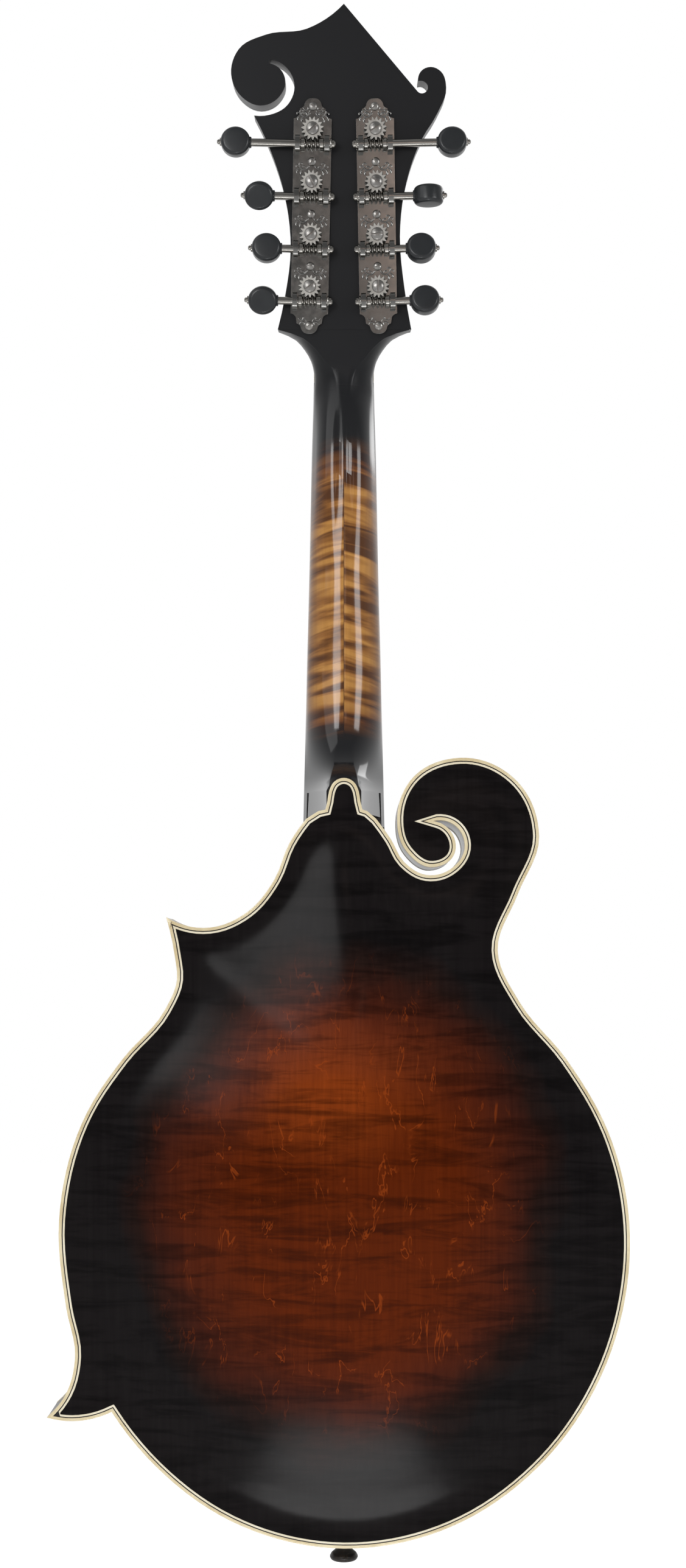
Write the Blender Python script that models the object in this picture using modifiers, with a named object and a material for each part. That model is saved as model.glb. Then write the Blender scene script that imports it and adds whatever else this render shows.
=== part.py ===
"""An f-style mandolin hung by its head, modelled piece by piece in Blender 4.5.

World frame, in metres: +Z up the neck, strings towards +Y, carved back towards -Y, scroll on +X.
The origin is on the centre line at the nut, in the glue plane between neck and fingerboard.

Three working frames carry the pieces. Each has x across, y up and z towards the back:
the body frame counts y up from the tail and z from the top's rim plane,
the neck frame counts y up from the nut and z from the fingerboard's glue plane,
the head frame counts y up from the nut's head side and z from the face of the head's wood.
"""

import math

import bmesh
import bpy
import numpy as np
from mathutils import Matrix, Vector
from mathutils.geometry import interpolate_bezier

# Clearance wherever one piece rests on another or passes through it
GAP = 0.0003
# Greatest distance between a curve and the facet that stands for it
FACET_ERROR = 0.00054

# Neck set
SCALE_LENGTH = 0.352
JOIN_FRET = 15
NECK_ANGLE = 3.0
HEAD_ANGLE = 7.0
OVERSTAND = 0.0167

# Body, with the length at which its heights are drawn: a longer body stretches them all
BODY_LENGTH = 0.3307
DRAWN_LENGTH = 0.3307
BODY_DEPTH = 0.041
RIM_WALL = 0.0023
BINDING_WIDTH = 0.0027
PLATE_EDGE = 0.005
PLATE_MIDDLE = 0.0036
TOP_ARCH = 0.0155
BACK_ARCH = 0.0145
RECURVE_DEPTH = 0.0008
ARCH_RUN = 0.028
DOME_HALF_WIDTH = 0.132
DOME_CENTRE = 0.162
DOME_BELOW = 0.170
DOME_ABOVE = 0.205
PLATE_GRID = 0.0268
# How far a plate's facets may lie inside the curve that they stand for
PLATE_SAG = 0.0006
LINING_WIDTH = 0.0055
LINING_HEIGHT = 0.012
TAIL_BLOCK_HALF_WIDTH = 0.024
TAIL_BLOCK_LENGTH = 0.017
HEAD_BLOCK_HALF_WIDTH = 0.030
HEAD_BLOCK_FOOT = 0.272
# Where the blocks begin: the head block's leftmost x, and each point block's innermost x and foot
SCROLL_BLOCK_EDGE = -0.045
UPPER_POINT_BLOCK = (-0.058, 0.252)
LOWER_POINT_BLOCK = (-0.092, 0.088)
TONE_BAR_WIDTH = 0.006
TONE_BAR_HEIGHT = 0.010
TONE_BAR_END_SHARE = 0.35
TONE_BAR_FOOT = (0.031, 0.066)
TONE_BAR_HEAD = (0.018, 0.236)

# The body's edge from the neck joint's left corner, down the left side, round the tail and up
BODY_KNOTS = (
    (-0.0170, 0.3270, "corner"),
    (-0.0245, 0.3160),
    (-0.0311, 0.3000),
    (-0.0430, 0.2855),
    (-0.0600, 0.2783),
    (-0.0797, 0.2830, "corner"),
    (-0.0758, 0.2655),
    (-0.0748, 0.2550),
    (-0.0803, 0.2413),
    (-0.0991, 0.2195),
    (-0.1150, 0.1957),
    (-0.1277, 0.1470),
    (-0.1245, 0.1080),
    (-0.1205, 0.0860),
    (-0.1245, 0.0695),
    (-0.1332, 0.0587, "corner"),
    (-0.1185, 0.0572),
    (-0.1041, 0.0612, "corner"),
    (-0.0840, 0.0365),
    (-0.0505, 0.0122),
    (0.0000, 0.0000),
    (0.0480, 0.0097),
    (0.0860, 0.0355),
    (0.1125, 0.0715),
    (0.1262, 0.1130),
    (0.1280, 0.1450),
    (0.1185, 0.1867),
    (0.0996, 0.2195),
    (0.0790, 0.2445),
    (0.0689, 0.2681),
    (0.0778, 0.2929),
    (0.0875, 0.3190),
    (0.0780, 0.3435),
    (0.0521, 0.3544),
    (0.0300, 0.3445),
    (0.0239, 0.3281),
    (0.0280, 0.3126),
    (0.0400, 0.3054),
    (0.0494, 0.3110),
    (0.0488, 0.3200),
    (0.0400, 0.3260, "corner"),
    (0.0483, 0.3251),
    (0.0542, 0.3155),
    (0.0475, 0.3043),
    (0.0370, 0.3019),
    (0.0269, 0.3078),
    (0.0210, 0.3180),
    (0.0145, 0.3270, "corner"),
    (0.0105, 0.3305, "corner"),
    (-0.0115, 0.3305, "corner"),
)
# The back's edge goes on round the button that caps the heel
BUTTON_KNOTS = (
    (0.0083, 0.3312, "corner"),
    (0.0069, 0.3380),
    (0.0000, 0.3454),
    (-0.0069, 0.3380),
    (-0.0083, 0.3312, "corner"),
)

# F-holes: the stem's centre line with its half width, and the two eyes, for the bass side
F_STEM = (
    (0.0480, 0.2230, 0.0012),
    (0.0535, 0.2290, 0.0016),
    (0.0590, 0.2190, 0.0020),
    (0.0610, 0.2000, 0.0026),
    (0.0625, 0.1820, 0.0029),
    (0.0645, 0.1630, 0.0026),
    (0.0685, 0.1450, 0.0020),
    (0.0745, 0.1375, 0.0016),
    (0.0790, 0.1440, 0.0012),
)
UPPER_EYE = (0.0478, 0.2190)
UPPER_EYE_RADIUS = 0.0042
LOWER_EYE = (0.0785, 0.1480)
LOWER_EYE_RADIUS = 0.0052

# Neck and fingerboard
FINGERBOARD_NUT_WIDTH = 0.0280
FINGERBOARD_JOIN_WIDTH = 0.0382
FINGERBOARD_THICKNESS = 0.005
FRET_COUNT = 21
FRET_WIDTH = 0.0011
FRET_HEIGHT = 0.0010
NECK_DEPTH_AT_NUT = 0.0148
NECK_DEPTH_AT_HEEL = 0.0174
HEEL_CAP_HALF_WIDTH = 0.0068
HEEL_CAP_LENGTH = 0.0130
# Where the heel grows out of the shaft: distance towards the nut from the cap's edge,
# share of the heel's full depth, and share of the heel's narrow shape
HEEL_CURVE = (
    (-0.001, 1.000, 1.00),
    (0.002, 0.800, 0.95),
    (0.006, 0.580, 0.80),
    (0.013, 0.420, 0.50),
    (0.023, 0.325, 0.20),
)
HEEL_RUN = 0.040
# How far the neck's blank runs into the body before it is trimmed
NECK_OVERCUT = 0.004
RISER_DEPTH = 0.008
RISER_SINK = 0.0001
RISER_END_DEPTH = 0.004
TENON_HALF_WIDTH = 0.0085
TENON_FLARE = 0.0020
TENON_LENGTH = 0.014
TENON_MARGIN = 0.0012
NUT_LENGTH = 0.005
NUT_SLOT_CLEARANCE = 0.00015
TRUSS_ROD_RADIUS = 0.0024
TRUSS_NUT_RADIUS = 0.0034
TRUSS_NUT_LENGTH = 0.010
TRUSS_ROD_DEPTH = 0.0056
TRUSS_ROD_REACH = 0.188

# Head
HEAD_THICKNESS = 0.013
OVERLAY_THICKNESS = 0.002
# The head's edge from the right ear, up the right side, round the scrolls and down to the left ear
HEAD_KNOTS = (
    (0.0311, 0.0178, "corner"),
    (0.0279, 0.0360),
    (0.0257, 0.0590),
    (0.0275, 0.0780),
    (0.0352, 0.1013),
    (0.0425, 0.1130),
    (0.0464, 0.1240),
    (0.0440, 0.1310),
    (0.0393, 0.1330),
    (0.0348, 0.1310),
    (0.0336, 0.1268, "corner"),
    (0.0360, 0.1268),
    (0.0381, 0.1242),
    (0.0358, 0.1216),
    (0.0332, 0.1227, "corner"),
    (0.0000, 0.1601, "corner"),
    (-0.0168, 0.1494),
    (-0.0352, 0.1469),
    (-0.0476, 0.1406),
    (-0.0511, 0.1300),
    (-0.0465, 0.1202),
    (-0.0379, 0.1163),
    (-0.0290, 0.1205),
    (-0.0265, 0.1268),
    (-0.0340, 0.1345, "corner"),
    (-0.0338, 0.1362, "corner"),
    (-0.0265, 0.1332),
    (-0.0224, 0.1245),
    (-0.0254, 0.1168),
    (-0.0338, 0.1123),
    (-0.0408, 0.1120, "corner"),
    (-0.0335, 0.0970),
    (-0.0262, 0.0730),
    (-0.0244, 0.0540),
    (-0.0270, 0.0330),
    (-0.0305, 0.0178, "corner"),
)
TRUSS_COVER_THICKNESS = 0.0016
TRUSS_COVER_KNOTS = (
    (-0.0095, 0.0020, "corner"),
    (0.0095, 0.0020, "corner"),
    (0.0082, 0.0120),
    (0.0058, 0.0220),
    (0.0048, 0.0290),
    (0.0000, 0.0330),
    (-0.0048, 0.0290),
    (-0.0058, 0.0220),
    (-0.0082, 0.0120),
)
# Where the neck flares into the head: height, half width at the face, half width at the back
HEAD_FLARE = (
    (0.0000, 0.0141, 0.0052),
    (0.0045, 0.0153, 0.0092),
    (0.0095, 0.0182, 0.0134),
    (0.0138, 0.0220, 0.0186),
    (0.0176, 0.0302, 0.0302),
)

# Tuners: four worm-and-gear machines on a plate
PLATE_WIDTH = 0.0172
PLATE_LENGTH = 0.1036
PLATE_THICKNESS = 0.0012
PLATE_OFFSET = 0.0150
PLATE_CENTRE = 0.0675
PLATE_TILT = 1.2
LOWEST_POST = 0.0364
POST_SPACING = 0.023
POST_RADIUS = 0.0029
POST_WAIST_RADIUS = 0.0023
POST_HEIGHT = 0.013
POST_HOLE_RADIUS = 0.0034
POST_FACETS = 8
GEAR_TEETH = 15
WORM_PITCH = 0.00192
GEAR_TIP_RADIUS = 0.0051
GEAR_ROOT_RADIUS = 0.0038
GEAR_BELOW_AXIS = 0.0009
GEAR_ABOVE_AXIS = 0.0017
GEAR_SCREW_HEIGHT = 0.0014
WORM_TIP_RADIUS = 0.0025
WORM_ROOT_RADIUS = 0.0012
TOOTH_SHARE = 0.40
FLANK_ANGLE = 20.0
SHAFT_DISTANCE = 0.0065
SHAFT_HEIGHT = 0.0033
SHAFT_RADIUS = 0.00175
COLLAR_RADIUS = 0.0026
COLLAR_LENGTH = 0.0020
LUG_THICKNESS = 0.0022
LUG_WIDTH = 0.0080
LUG_SPAN = 0.0112
LUG_HEIGHT = 0.0060
LUG_BORE_RADIUS = 0.0020
WORM_FACETS = 8
# From the worm's middle to the button's middle, for the four machines from the nut up
SHAFT_REACHES = (0.0214, 0.0200, 0.0237, 0.0347)
BUTTON_LENGTH = 0.0134
BUTTON_WIDTH = 0.0126
BUTTON_THICKNESS = 0.0082
BUTTON_EDGE = 0.0010
SHAFT_TIP = 0.0018
# How far each button stands turned, in degrees, for the four machines from the nut up
TREBLE_BUTTON_TURNS = (8.0, -6.0, 10.0, -4.0)
BASS_BUTTON_TURNS = (-10.0, -14.0, 62.0, -8.0)

# Strings, from the treble side: course name and diameter
COURSES = (("e", 0.00028), ("a", 0.00038), ("d", 0.00061), ("g", 0.00100))
NUT_COURSE_SPACING = 0.0072
NUT_PAIR_SPACING = 0.0023
SADDLE_COURSE_SPACING = 0.0122
SADDLE_PAIR_SPACING = 0.0030
HOOK_COURSE_SPACING = 0.0096
HOOK_PAIR_SPACING = 0.0036
STRING_RISE_PER_LENGTH = 0.0055
WINDING_TURNS = 2.5
WINDING_POINTS = 8
WINDING_SPACE = 0.00045
WINDING_START = 0.0029
# Two points of a string belong to different turns when the string runs farther than this between
TURN_APART = 0.005

# Bridge
BRIDGE_WIDTH = 0.012
BRIDGE_BASE_LENGTH = 0.112
BRIDGE_BASE_HEIGHT = 0.0055
BRIDGE_TIP_HEIGHT = 0.0026
WHEEL_CLEARANCE = 0.0019
STUD_SPACING = 0.060
STUD_RADIUS = 0.0018
STUD_BORE_RADIUS = 0.0022
THUMBWHEEL_RADIUS = 0.0080
THUMBWHEEL_THICKNESS = 0.0024
SADDLE_THICKNESS = 0.0062
SADDLE_TOP_THICKNESS = 0.0030
SADDLE_LENGTH = 0.078
SADDLE_TOP_LENGTH = 0.054
SADDLE_SHOULDER = 0.0042
SADDLE_BORE_DEPTH = 0.0036
STUD_FREE_LENGTH = 0.0021

# Tailpiece and end pin
STRAP_WIDTH = 0.044
STRAP_THICKNESS = 0.0012
STRAP_LENGTH = 0.046
STRAP_SLOPE = 11.5
STRAP_LIFT = 0.0030
HOOK_LENGTH = 0.005
HOOK_WIDTH = 0.0018
FLANGE_WIDTH = 0.034
FLANGE_DROP = 0.027
COVER_WALL = 0.0010
COVER_LENGTH = 0.078
COVER_CROWN = 0.0090
PIN_RADIUS = 0.0064
PIN_WAIST_RADIUS = 0.0037
PIN_SHANK_RADIUS = 0.0034
PIN_REACH = 0.0104
PIN_SHANK_LENGTH = 0.014

FINISHES = {
    "dark_lacquer": ((0.012, 0.008, 0.007), 0.18, 0.0),
    "back_lacquer": ((0.110, 0.028, 0.008), 0.16, 0.0),
    "neck_lacquer": ((0.300, 0.110, 0.020), 0.22, 0.0),
    "top_lacquer": ((0.420, 0.140, 0.030), 0.18, 0.0),
    "ivoroid": ((0.780, 0.690, 0.480), 0.35, 0.0),
    "raw_maple": ((0.620, 0.440, 0.250), 0.60, 0.0),
    "raw_spruce": ((0.740, 0.560, 0.340), 0.65, 0.0),
    "ebony": ((0.018, 0.015, 0.014), 0.38, 0.0),
    "bone": ((0.800, 0.740, 0.600), 0.40, 0.0),
    "nickel": ((0.560, 0.550, 0.520), 0.28, 1.0),
    "bronze": ((0.620, 0.400, 0.180), 0.30, 1.0),
    "steel": ((0.520, 0.520, 0.530), 0.35, 1.0),
    "black_button": ((0.016, 0.017, 0.020), 0.30, 0.0),
}


def along_neck(fret):
    """Return a fret's distance from the nut."""
    return SCALE_LENGTH * (1 - 2 ** (-fret / 12))


def lean(place, degrees):
    """Return a working frame at a place, its y up along a piece that leans back by an angle."""
    return Matrix.Translation(place) @ Matrix.Rotation(math.radians(90 + degrees), 4, "X")


NECK_RADIANS = math.radians(NECK_ANGLE)
NECK_JOIN = along_neck(JOIN_FRET)
NECK_FRAME = lean((0, 0, 0), NECK_ANGLE)
HEAD_FRAME = lean(NECK_FRAME @ Vector((0, NUT_LENGTH, 0)), NECK_ANGLE + HEAD_ANGLE)
RIM_PLANE = NECK_JOIN * math.sin(NECK_RADIANS) - OVERSTAND
TAIL_HEIGHT = -NECK_JOIN * math.cos(NECK_RADIANS) - BODY_LENGTH
BODY_FRAME = lean((0, RIM_PLANE, TAIL_HEIGHT), 0)
RIM_TOP = PLATE_EDGE + GAP
RIM_BACK = BODY_DEPTH - PLATE_EDGE - GAP


def clear_scene():
    """Remove what the scene holds, and give the mandolin and its cutters a collection each."""
    for obj in list(bpy.data.objects):
        bpy.data.objects.remove(obj, do_unlink=True)
    for name in ("mandolin", "cutters"):
        bpy.context.scene.collection.children.link(bpy.data.collections.new(name))


def up_body(height):
    """Return a drawn height up the body, stretched to the body's real length."""
    return height * BODY_LENGTH / DRAWN_LENGTH


def add_frame(name, matrix):
    """Add an empty that carries the pieces of one working frame."""
    empty = bpy.data.objects.new(name, None)
    empty.matrix_world = matrix
    bpy.data.collections["mandolin"].objects.link(empty)
    return empty


def finish_material(finish):
    """Return the Principled material of one finish."""
    if finish in bpy.data.materials:
        return bpy.data.materials[finish]
    color, roughness, metallic = FINISHES[finish]
    material = bpy.data.materials.new(finish)
    material.use_nodes = True
    shader = material.node_tree.nodes["Principled BSDF"]
    shader.inputs["Base Color"].default_value = (*color, 1)
    shader.inputs["Roughness"].default_value = roughness
    shader.inputs["Metallic"].default_value = metallic
    return material


def add_piece(name, mesh, finish, parent, local=Matrix()):
    """Add one sub-part to the mandolin, placed in its working frame."""
    if not mesh.materials:
        mesh.materials.append(finish_material(finish))
    mesh.shade_smooth()
    mesh.set_sharp_from_angle(angle=math.radians(32))
    piece = bpy.data.objects.new(name, mesh)
    bpy.data.collections["mandolin"].objects.link(piece)
    piece.parent = parent
    piece.matrix_local = local
    return piece


def add_cutter(name, mesh, parent, local=Matrix()):
    """Add a hidden solid that other pieces are cut or joined with."""
    cutter = bpy.data.objects.new(name, mesh)
    bpy.data.collections["cutters"].objects.link(cutter)
    cutter.parent = parent
    cutter.matrix_local = local
    cutter.hide_render = True
    cutter.display_type = "WIRE"
    return cutter


def combine(piece, tool, operation):
    """Cut a piece with a tool, or join the tool to it, as a live modifier."""
    modifier = piece.modifiers.new(f"{operation.lower()} {tool.name}", "BOOLEAN")
    modifier.operation = operation
    modifier.object = tool
    modifier.solver = "EXACT"


def evaluated_mesh(obj, name):
    """Return an object's evaluated mesh, with its modifiers applied and its seams welded."""
    bpy.context.view_layer.update()
    depsgraph = bpy.context.evaluated_depsgraph_get()
    mesh = bpy.data.meshes.new_from_object(obj.evaluated_get(depsgraph))
    mesh.name = name
    return mesh


def closed_mesh(name, bm):
    """Weld a bmesh, turn its faces outwards and return it as a mesh."""
    bmesh.ops.remove_doubles(bm, verts=bm.verts[:], dist=1e-6)
    bmesh.ops.recalc_face_normals(bm, faces=bm.faces[:])
    mesh = bpy.data.meshes.new(name)
    bm.to_mesh(mesh)
    bm.free()
    return mesh


def smooth_loop(knots):
    """Return points round a closed smooth curve through knots, some of which are corners."""
    places = [Vector(knot[:2]) for knot in knots]
    count = len(places)

    def direction(i):
        if len(knots[i]) > 2:
            return None
        before = places[i] - places[i - 1]
        after = places[(i + 1) % count] - places[i]
        return (before / before.length_squared + after / after.length_squared).normalized()

    loop = []
    for i, start in enumerate(places):
        end = places[(i + 1) % count]
        chord = (end - start).normalized()
        leave = direction(i)
        arrive = direction((i + 1) % count)
        if leave is None and arrive is None:
            loop.append(start)
            continue
        leave = leave or 2 * chord.dot(arrive) * chord - arrive
        arrive = arrive or 2 * chord.dot(leave) * chord - leave
        turn = leave.angle(chord, 0) + chord.angle(arrive, 0)
        reach = (end - start).length / 3
        if turn > 0.01:
            reach *= 2 * math.tan(turn / 4) / math.sin(turn / 2)
        steps = max(1, round(math.sqrt((end - start).length * turn / (8 * FACET_ERROR))))
        handles = (start + leave * reach, end - arrive * reach)
        loop += interpolate_bezier(start, *handles, end, steps + 1)[:-1]
    return [Vector(point[:2]) for point in loop]


def edge_distances(points, loop):
    """Return each point's distance to a closed loop."""
    points = np.array([tuple(p[:2]) for p in points])[:, None, :]
    starts = np.array([tuple(p[:2]) for p in loop])
    spans = np.roll(starts, -1, axis=0) - starts
    share = ((points - starts) * spans).sum(axis=2) / (spans**2).sum(axis=1)
    nearest = starts + np.clip(share, 0, 1)[:, :, None] * spans
    return np.sqrt(((points - nearest) ** 2).sum(axis=2)).min(axis=1)


def inset(loop, distance):
    """Move an anticlockwise loop inwards, and drop the stretches that fold over in its tips."""
    count = len(loop)
    moved = []
    for i in range(count):
        before = (loop[i] - loop[i - 1]).normalized()
        after = (loop[(i + 1) % count] - loop[i]).normalized()
        bisector = (before + after).orthogonal()
        length = bisector.length_squared / 2
        moved.append(loop[i] + bisector * (distance / max(length, 0.12)))
    distances = edge_distances(moved, loop)
    return [point for point, far in zip(moved, distances) if far > abs(distance) * 0.97]


def slab(name, loops, low, high):
    """Return the mesh of a flat outline, with holes for the further loops, from low to high."""
    curve = bpy.data.curves.new(name, "CURVE")
    curve.dimensions = "2D"
    curve.fill_mode = "BOTH"
    curve.extrude = (high - low) / 2
    for loop in loops:
        spline = curve.splines.new("POLY")
        spline.points.add(len(loop) - 1)
        for knot, place in zip(spline.points, loop):
            knot.co = (place[0], place[1], 0, 1)
        spline.use_cyclic_u = True
    drawing = bpy.data.objects.new(name, curve)
    bpy.data.collections["cutters"].objects.link(drawing)
    mesh = evaluated_mesh(drawing, name)
    bpy.data.objects.remove(drawing)
    bm = bmesh.new()
    bm.from_mesh(mesh)
    bmesh.ops.translate(bm, verts=bm.verts[:], vec=(0, 0, (high + low) / 2))
    return closed_mesh(name, bm)


def loft(name, sections):
    """Return the closed mesh that skins a row of sections with equal counts of points."""
    bm = bmesh.new()
    rings = [[bm.verts.new(point) for point in section] for section in sections]
    for ring, following in zip(rings, rings[1:]):
        for i in range(len(ring)):
            j = (i + 1) % len(ring)
            bm.faces.new((ring[i], ring[j], following[j], following[i]))
    bm.faces.new(rings[0][::-1])
    bm.faces.new(rings[-1])
    return closed_mesh(name, bm)


def turned(name, profile, facets):
    """Return the mesh of a profile of (radius, z), top to bottom, turned about z."""
    mesh = bpy.data.meshes.new(name)
    points = [(radius, 0, z) for radius, z in profile]
    mesh.from_pydata(points, [(i, i + 1) for i in range(len(points) - 1)], [])
    blank = bpy.data.objects.new(name, mesh)
    bpy.data.collections["cutters"].objects.link(blank)
    screw = blank.modifiers.new("turn", "SCREW")
    screw.steps = facets
    screw.render_steps = facets
    screw.use_merge_vertices = True
    screw.merge_threshold = 0.00001
    solid = evaluated_mesh(blank, name)
    bpy.data.objects.remove(blank)
    bm = bmesh.new()
    bm.from_mesh(solid)
    return closed_mesh(name, bm)


def box(name, low, high):
    """Return the mesh of a box between two corners."""
    bm = bmesh.new()
    bmesh.ops.create_cube(bm, size=1)
    low = Vector(low)
    high = Vector(high)
    bmesh.ops.scale(bm, verts=bm.verts[:], vec=high - low)
    bmesh.ops.translate(bm, verts=bm.verts[:], vec=(low + high) / 2)
    return closed_mesh(name, bm)


def rod(name, radius, low, high, facets):
    """Return the mesh of a round rod along z."""
    bm = bmesh.new()
    bmesh.ops.create_cone(
        bm, cap_ends=True, segments=facets, radius1=radius, radius2=radius, depth=high - low
    )
    bmesh.ops.translate(bm, verts=bm.verts[:], vec=(0, 0, (low + high) / 2))
    return closed_mesh(name, bm)


def body_loops():
    """Return the edge of the top and the rim, and the edge of the back with its button."""
    knots = [(x, up_body(y), *corner) for x, y, *corner in BODY_KNOTS]
    lift = BODY_LENGTH - DRAWN_LENGTH
    button = [(x, y + lift, *corner) for x, y, *corner in BUTTON_KNOTS]
    return smooth_loop(knots), smooth_loop(knots[:-1] + button + knots[-1:])


def ease(value):
    """Return a soft step from 0 to 1."""
    value = min(max(value, 0), 1)
    return value * value * (3 - 2 * value)


def arching(point, distance, height):
    """Return how far a plate's surface rises above its edge at a point, less its recurve."""
    above = point[1] - up_body(DOME_CENTRE)
    run = up_body(DOME_ABOVE if above > 0 else DOME_BELOW)
    spread = math.hypot(point[0] / DOME_HALF_WIDTH, above / run)
    dome = math.cos(min(spread, 1) * math.pi / 2) ** 0.7
    return height * dome * (1 - math.exp(-((distance / ARCH_RUN) ** 1.5)))


def recurve(distance):
    """Return the depth of the shallow channel that runs just inside a plate's edge."""
    return RECURVE_DEPTH * math.sin(math.pi * min(distance / (ARCH_RUN * 0.6), 1)) ** 2


def plate_thickness(distance):
    """Return a plate's thickness at a distance from its edge."""
    return PLATE_EDGE + (PLATE_MIDDLE - PLATE_EDGE) * ease((distance - 0.010) / 0.025)


def carved_plate(name, loop, height, edge_plane, outwards):
    """Return a carved plate: its edge loop cut into a grid, arched and given its thickness."""
    bm = bmesh.new()
    bm.faces.new([bm.verts.new((*point, 0)) for point in loop])
    for axis in (0, 1):
        low = min(point[axis] for point in loop)
        high = max(point[axis] for point in loop)
        cuts = round((high - low) / PLATE_GRID)
        normal = Vector((axis == 0, axis == 1, 0))
        for i in range(1, cuts):
            place = normal * (low + (high - low) * i / cuts)
            geometry = bm.verts[:] + bm.edges[:] + bm.faces[:]
            bmesh.ops.bisect_plane(bm, geom=geometry, plane_co=place, plane_no=normal, dist=1e-5)
    inner = bmesh.ops.extrude_face_region(bm, geom=bm.faces[:])["geom"]
    inner = {vert for vert in inner if isinstance(vert, bmesh.types.BMVert)}
    distances = edge_distances([vert.co for vert in bm.verts], loop)
    for vert, distance in zip(bm.verts, distances):
        rise = arching(vert.co, distance, height)
        if vert in inner:
            rise -= plate_thickness(distance)
        else:
            rise -= recurve(distance)
        vert.co.z = edge_plane + outwards * rise
    return closed_mesh(name, bm)


def f_hole_outline(side):
    """Return the outline of an f-hole's stem on one side of the top."""
    centres = [Vector((side * x, up_body(y))) for x, y, half in F_STEM]
    left = []
    right = []
    for i, centre in enumerate(centres):
        before = centres[max(i - 1, 0)]
        after = centres[min(i + 1, len(centres) - 1)]
        across = (after - before).orthogonal().normalized() * F_STEM[i][2]
        left.append(centre + across)
        right.append(centre - across)
    outline = left + right[::-1]
    ends = (0, len(left) - 1, len(left), len(outline) - 1)
    return smooth_loop([(*p, "corner") if i in ends else (*p,) for i, p in enumerate(outline)])


def add_top(body, edge):
    """Add the carved top with its two f-holes."""
    loop = inset(edge, BINDING_WIDTH + GAP)
    top = add_piece(
        "top_plate", carved_plate("top_plate", loop, TOP_ARCH, 0, -1), "top_lacquer", body
    )
    for side, hand in ((1, "bass"), (-1, "treble")):
        stem = slab(f"f_stem_{hand}", [f_hole_outline(side)], -0.04, 0.02)
        combine(top, add_cutter(stem.name, stem, body), "DIFFERENCE")
        eyes = ((UPPER_EYE, UPPER_EYE_RADIUS, "upper"), (LOWER_EYE, LOWER_EYE_RADIUS, "lower"))
        for (x, y), radius, end in eyes:
            eye = rod(f"f_eye_{end}_{hand}", radius, -0.04, 0.02, 12)
            place = Matrix.Translation((side * x, up_body(y), 0))
            combine(top, add_cutter(eye.name, eye, body, place), "DIFFERENCE")


def add_body_shell(body, edge, back_edge):
    """Add the back, the rim and the two bindings."""
    loop = inset(back_edge, BINDING_WIDTH + GAP)
    back = carved_plate("back_plate", loop, BACK_ARCH, BODY_DEPTH, 1)
    add_piece("back_plate", back, "back_lacquer", body)
    rim = slab("rim", [edge, inset(edge, RIM_WALL)], RIM_TOP, RIM_BACK)
    rim = add_piece("rim", rim, "dark_lacquer", body)
    lip = slab("top_binding", [edge, inset(edge, BINDING_WIDTH)], 0, PLATE_EDGE)
    add_piece("top_binding", lip, "ivoroid", body)
    ring = [back_edge, inset(back_edge, BINDING_WIDTH)]
    lip = slab("back_binding", ring, BODY_DEPTH - PLATE_EDGE, BODY_DEPTH)
    add_piece("back_binding", lip, "ivoroid", body)
    return rim


def part_loop(loop, region, corners):
    """Part a loop at a region: return the block outside the new line, and the loop inside it."""
    count = len(loop)
    start = next(
        i for i in range(count) if not region(loop[i]) and region(loop[(i + 1) % count])
    )
    turned_loop = loop[start:] + loop[:start]
    end = next(i for i in range(1, count) if not region(turned_loop[i]))
    block = turned_loop[: end + 1] + corners[::-1]
    rest = turned_loop[end:] + turned_loop[:1] + corners
    return block, rest


def add_blocks(body, edge, rim):
    """Add the blocks that fill the scroll, the points and the tail, and the linings between."""
    chamber = inset(edge, RIM_WALL)
    foot = up_body(HEAD_BLOCK_FOOT)
    wide = HEAD_BLOCK_HALF_WIDTH
    half = TAIL_BLOCK_HALF_WIDTH
    upper_x, upper_y = UPPER_POINT_BLOCK
    lower_x, lower_y = LOWER_POINT_BLOCK
    plans = (
        ("head_block", lambda p: p.x > SCROLL_BLOCK_EDGE and p.y > foot - 0.005,
         [Vector((wide, foot)), Vector((-wide, foot))]),
        ("upper_point_block", lambda p: p.x < upper_x and p.y > up_body(upper_y), []),
        ("lower_point_block", lambda p: p.x < lower_x and p.y < up_body(lower_y), []),
        ("tail_block", lambda p: abs(p.x) < half and p.y < TAIL_BLOCK_LENGTH + 0.003,
         [Vector((-half, TAIL_BLOCK_LENGTH)), Vector((half, TAIL_BLOCK_LENGTH))]),
    )
    blocks = {}
    for name, region, corners in plans:
        outline, chamber = part_loop(chamber, region, corners)
        mesh = slab(name, [inset(outline, GAP)], RIM_TOP, RIM_BACK)
        blocks[name] = add_piece(name, mesh, "raw_maple", body)
    strip = inset(chamber, GAP)
    ring = [strip, inset(strip, LINING_WIDTH)]
    lining = slab("top_lining", ring, RIM_TOP, RIM_TOP + LINING_HEIGHT)
    add_piece("top_lining", lining, "raw_spruce", body)
    lining = slab("back_lining", ring, RIM_BACK - LINING_HEIGHT, RIM_BACK)
    add_piece("back_lining", lining, "raw_spruce", body)
    mortise = add_cutter("mortise", tenon_mesh("mortise", GAP), body)
    combine(rim, mortise, "DIFFERENCE")
    combine(blocks["head_block"], mortise, "DIFFERENCE")
    pin_bore = rod("pin_bore", PIN_SHANK_RADIUS + GAP, -0.030, 0.030, 16)
    place = Matrix.Translation((0, 0, BODY_DEPTH / 2)) @ Matrix.Rotation(math.pi / 2, 4, "X")
    pin_bore = add_cutter("pin_bore", pin_bore, body, place)
    combine(rim, pin_bore, "DIFFERENCE")
    combine(blocks["tail_block"], pin_bore, "DIFFERENCE")


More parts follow.
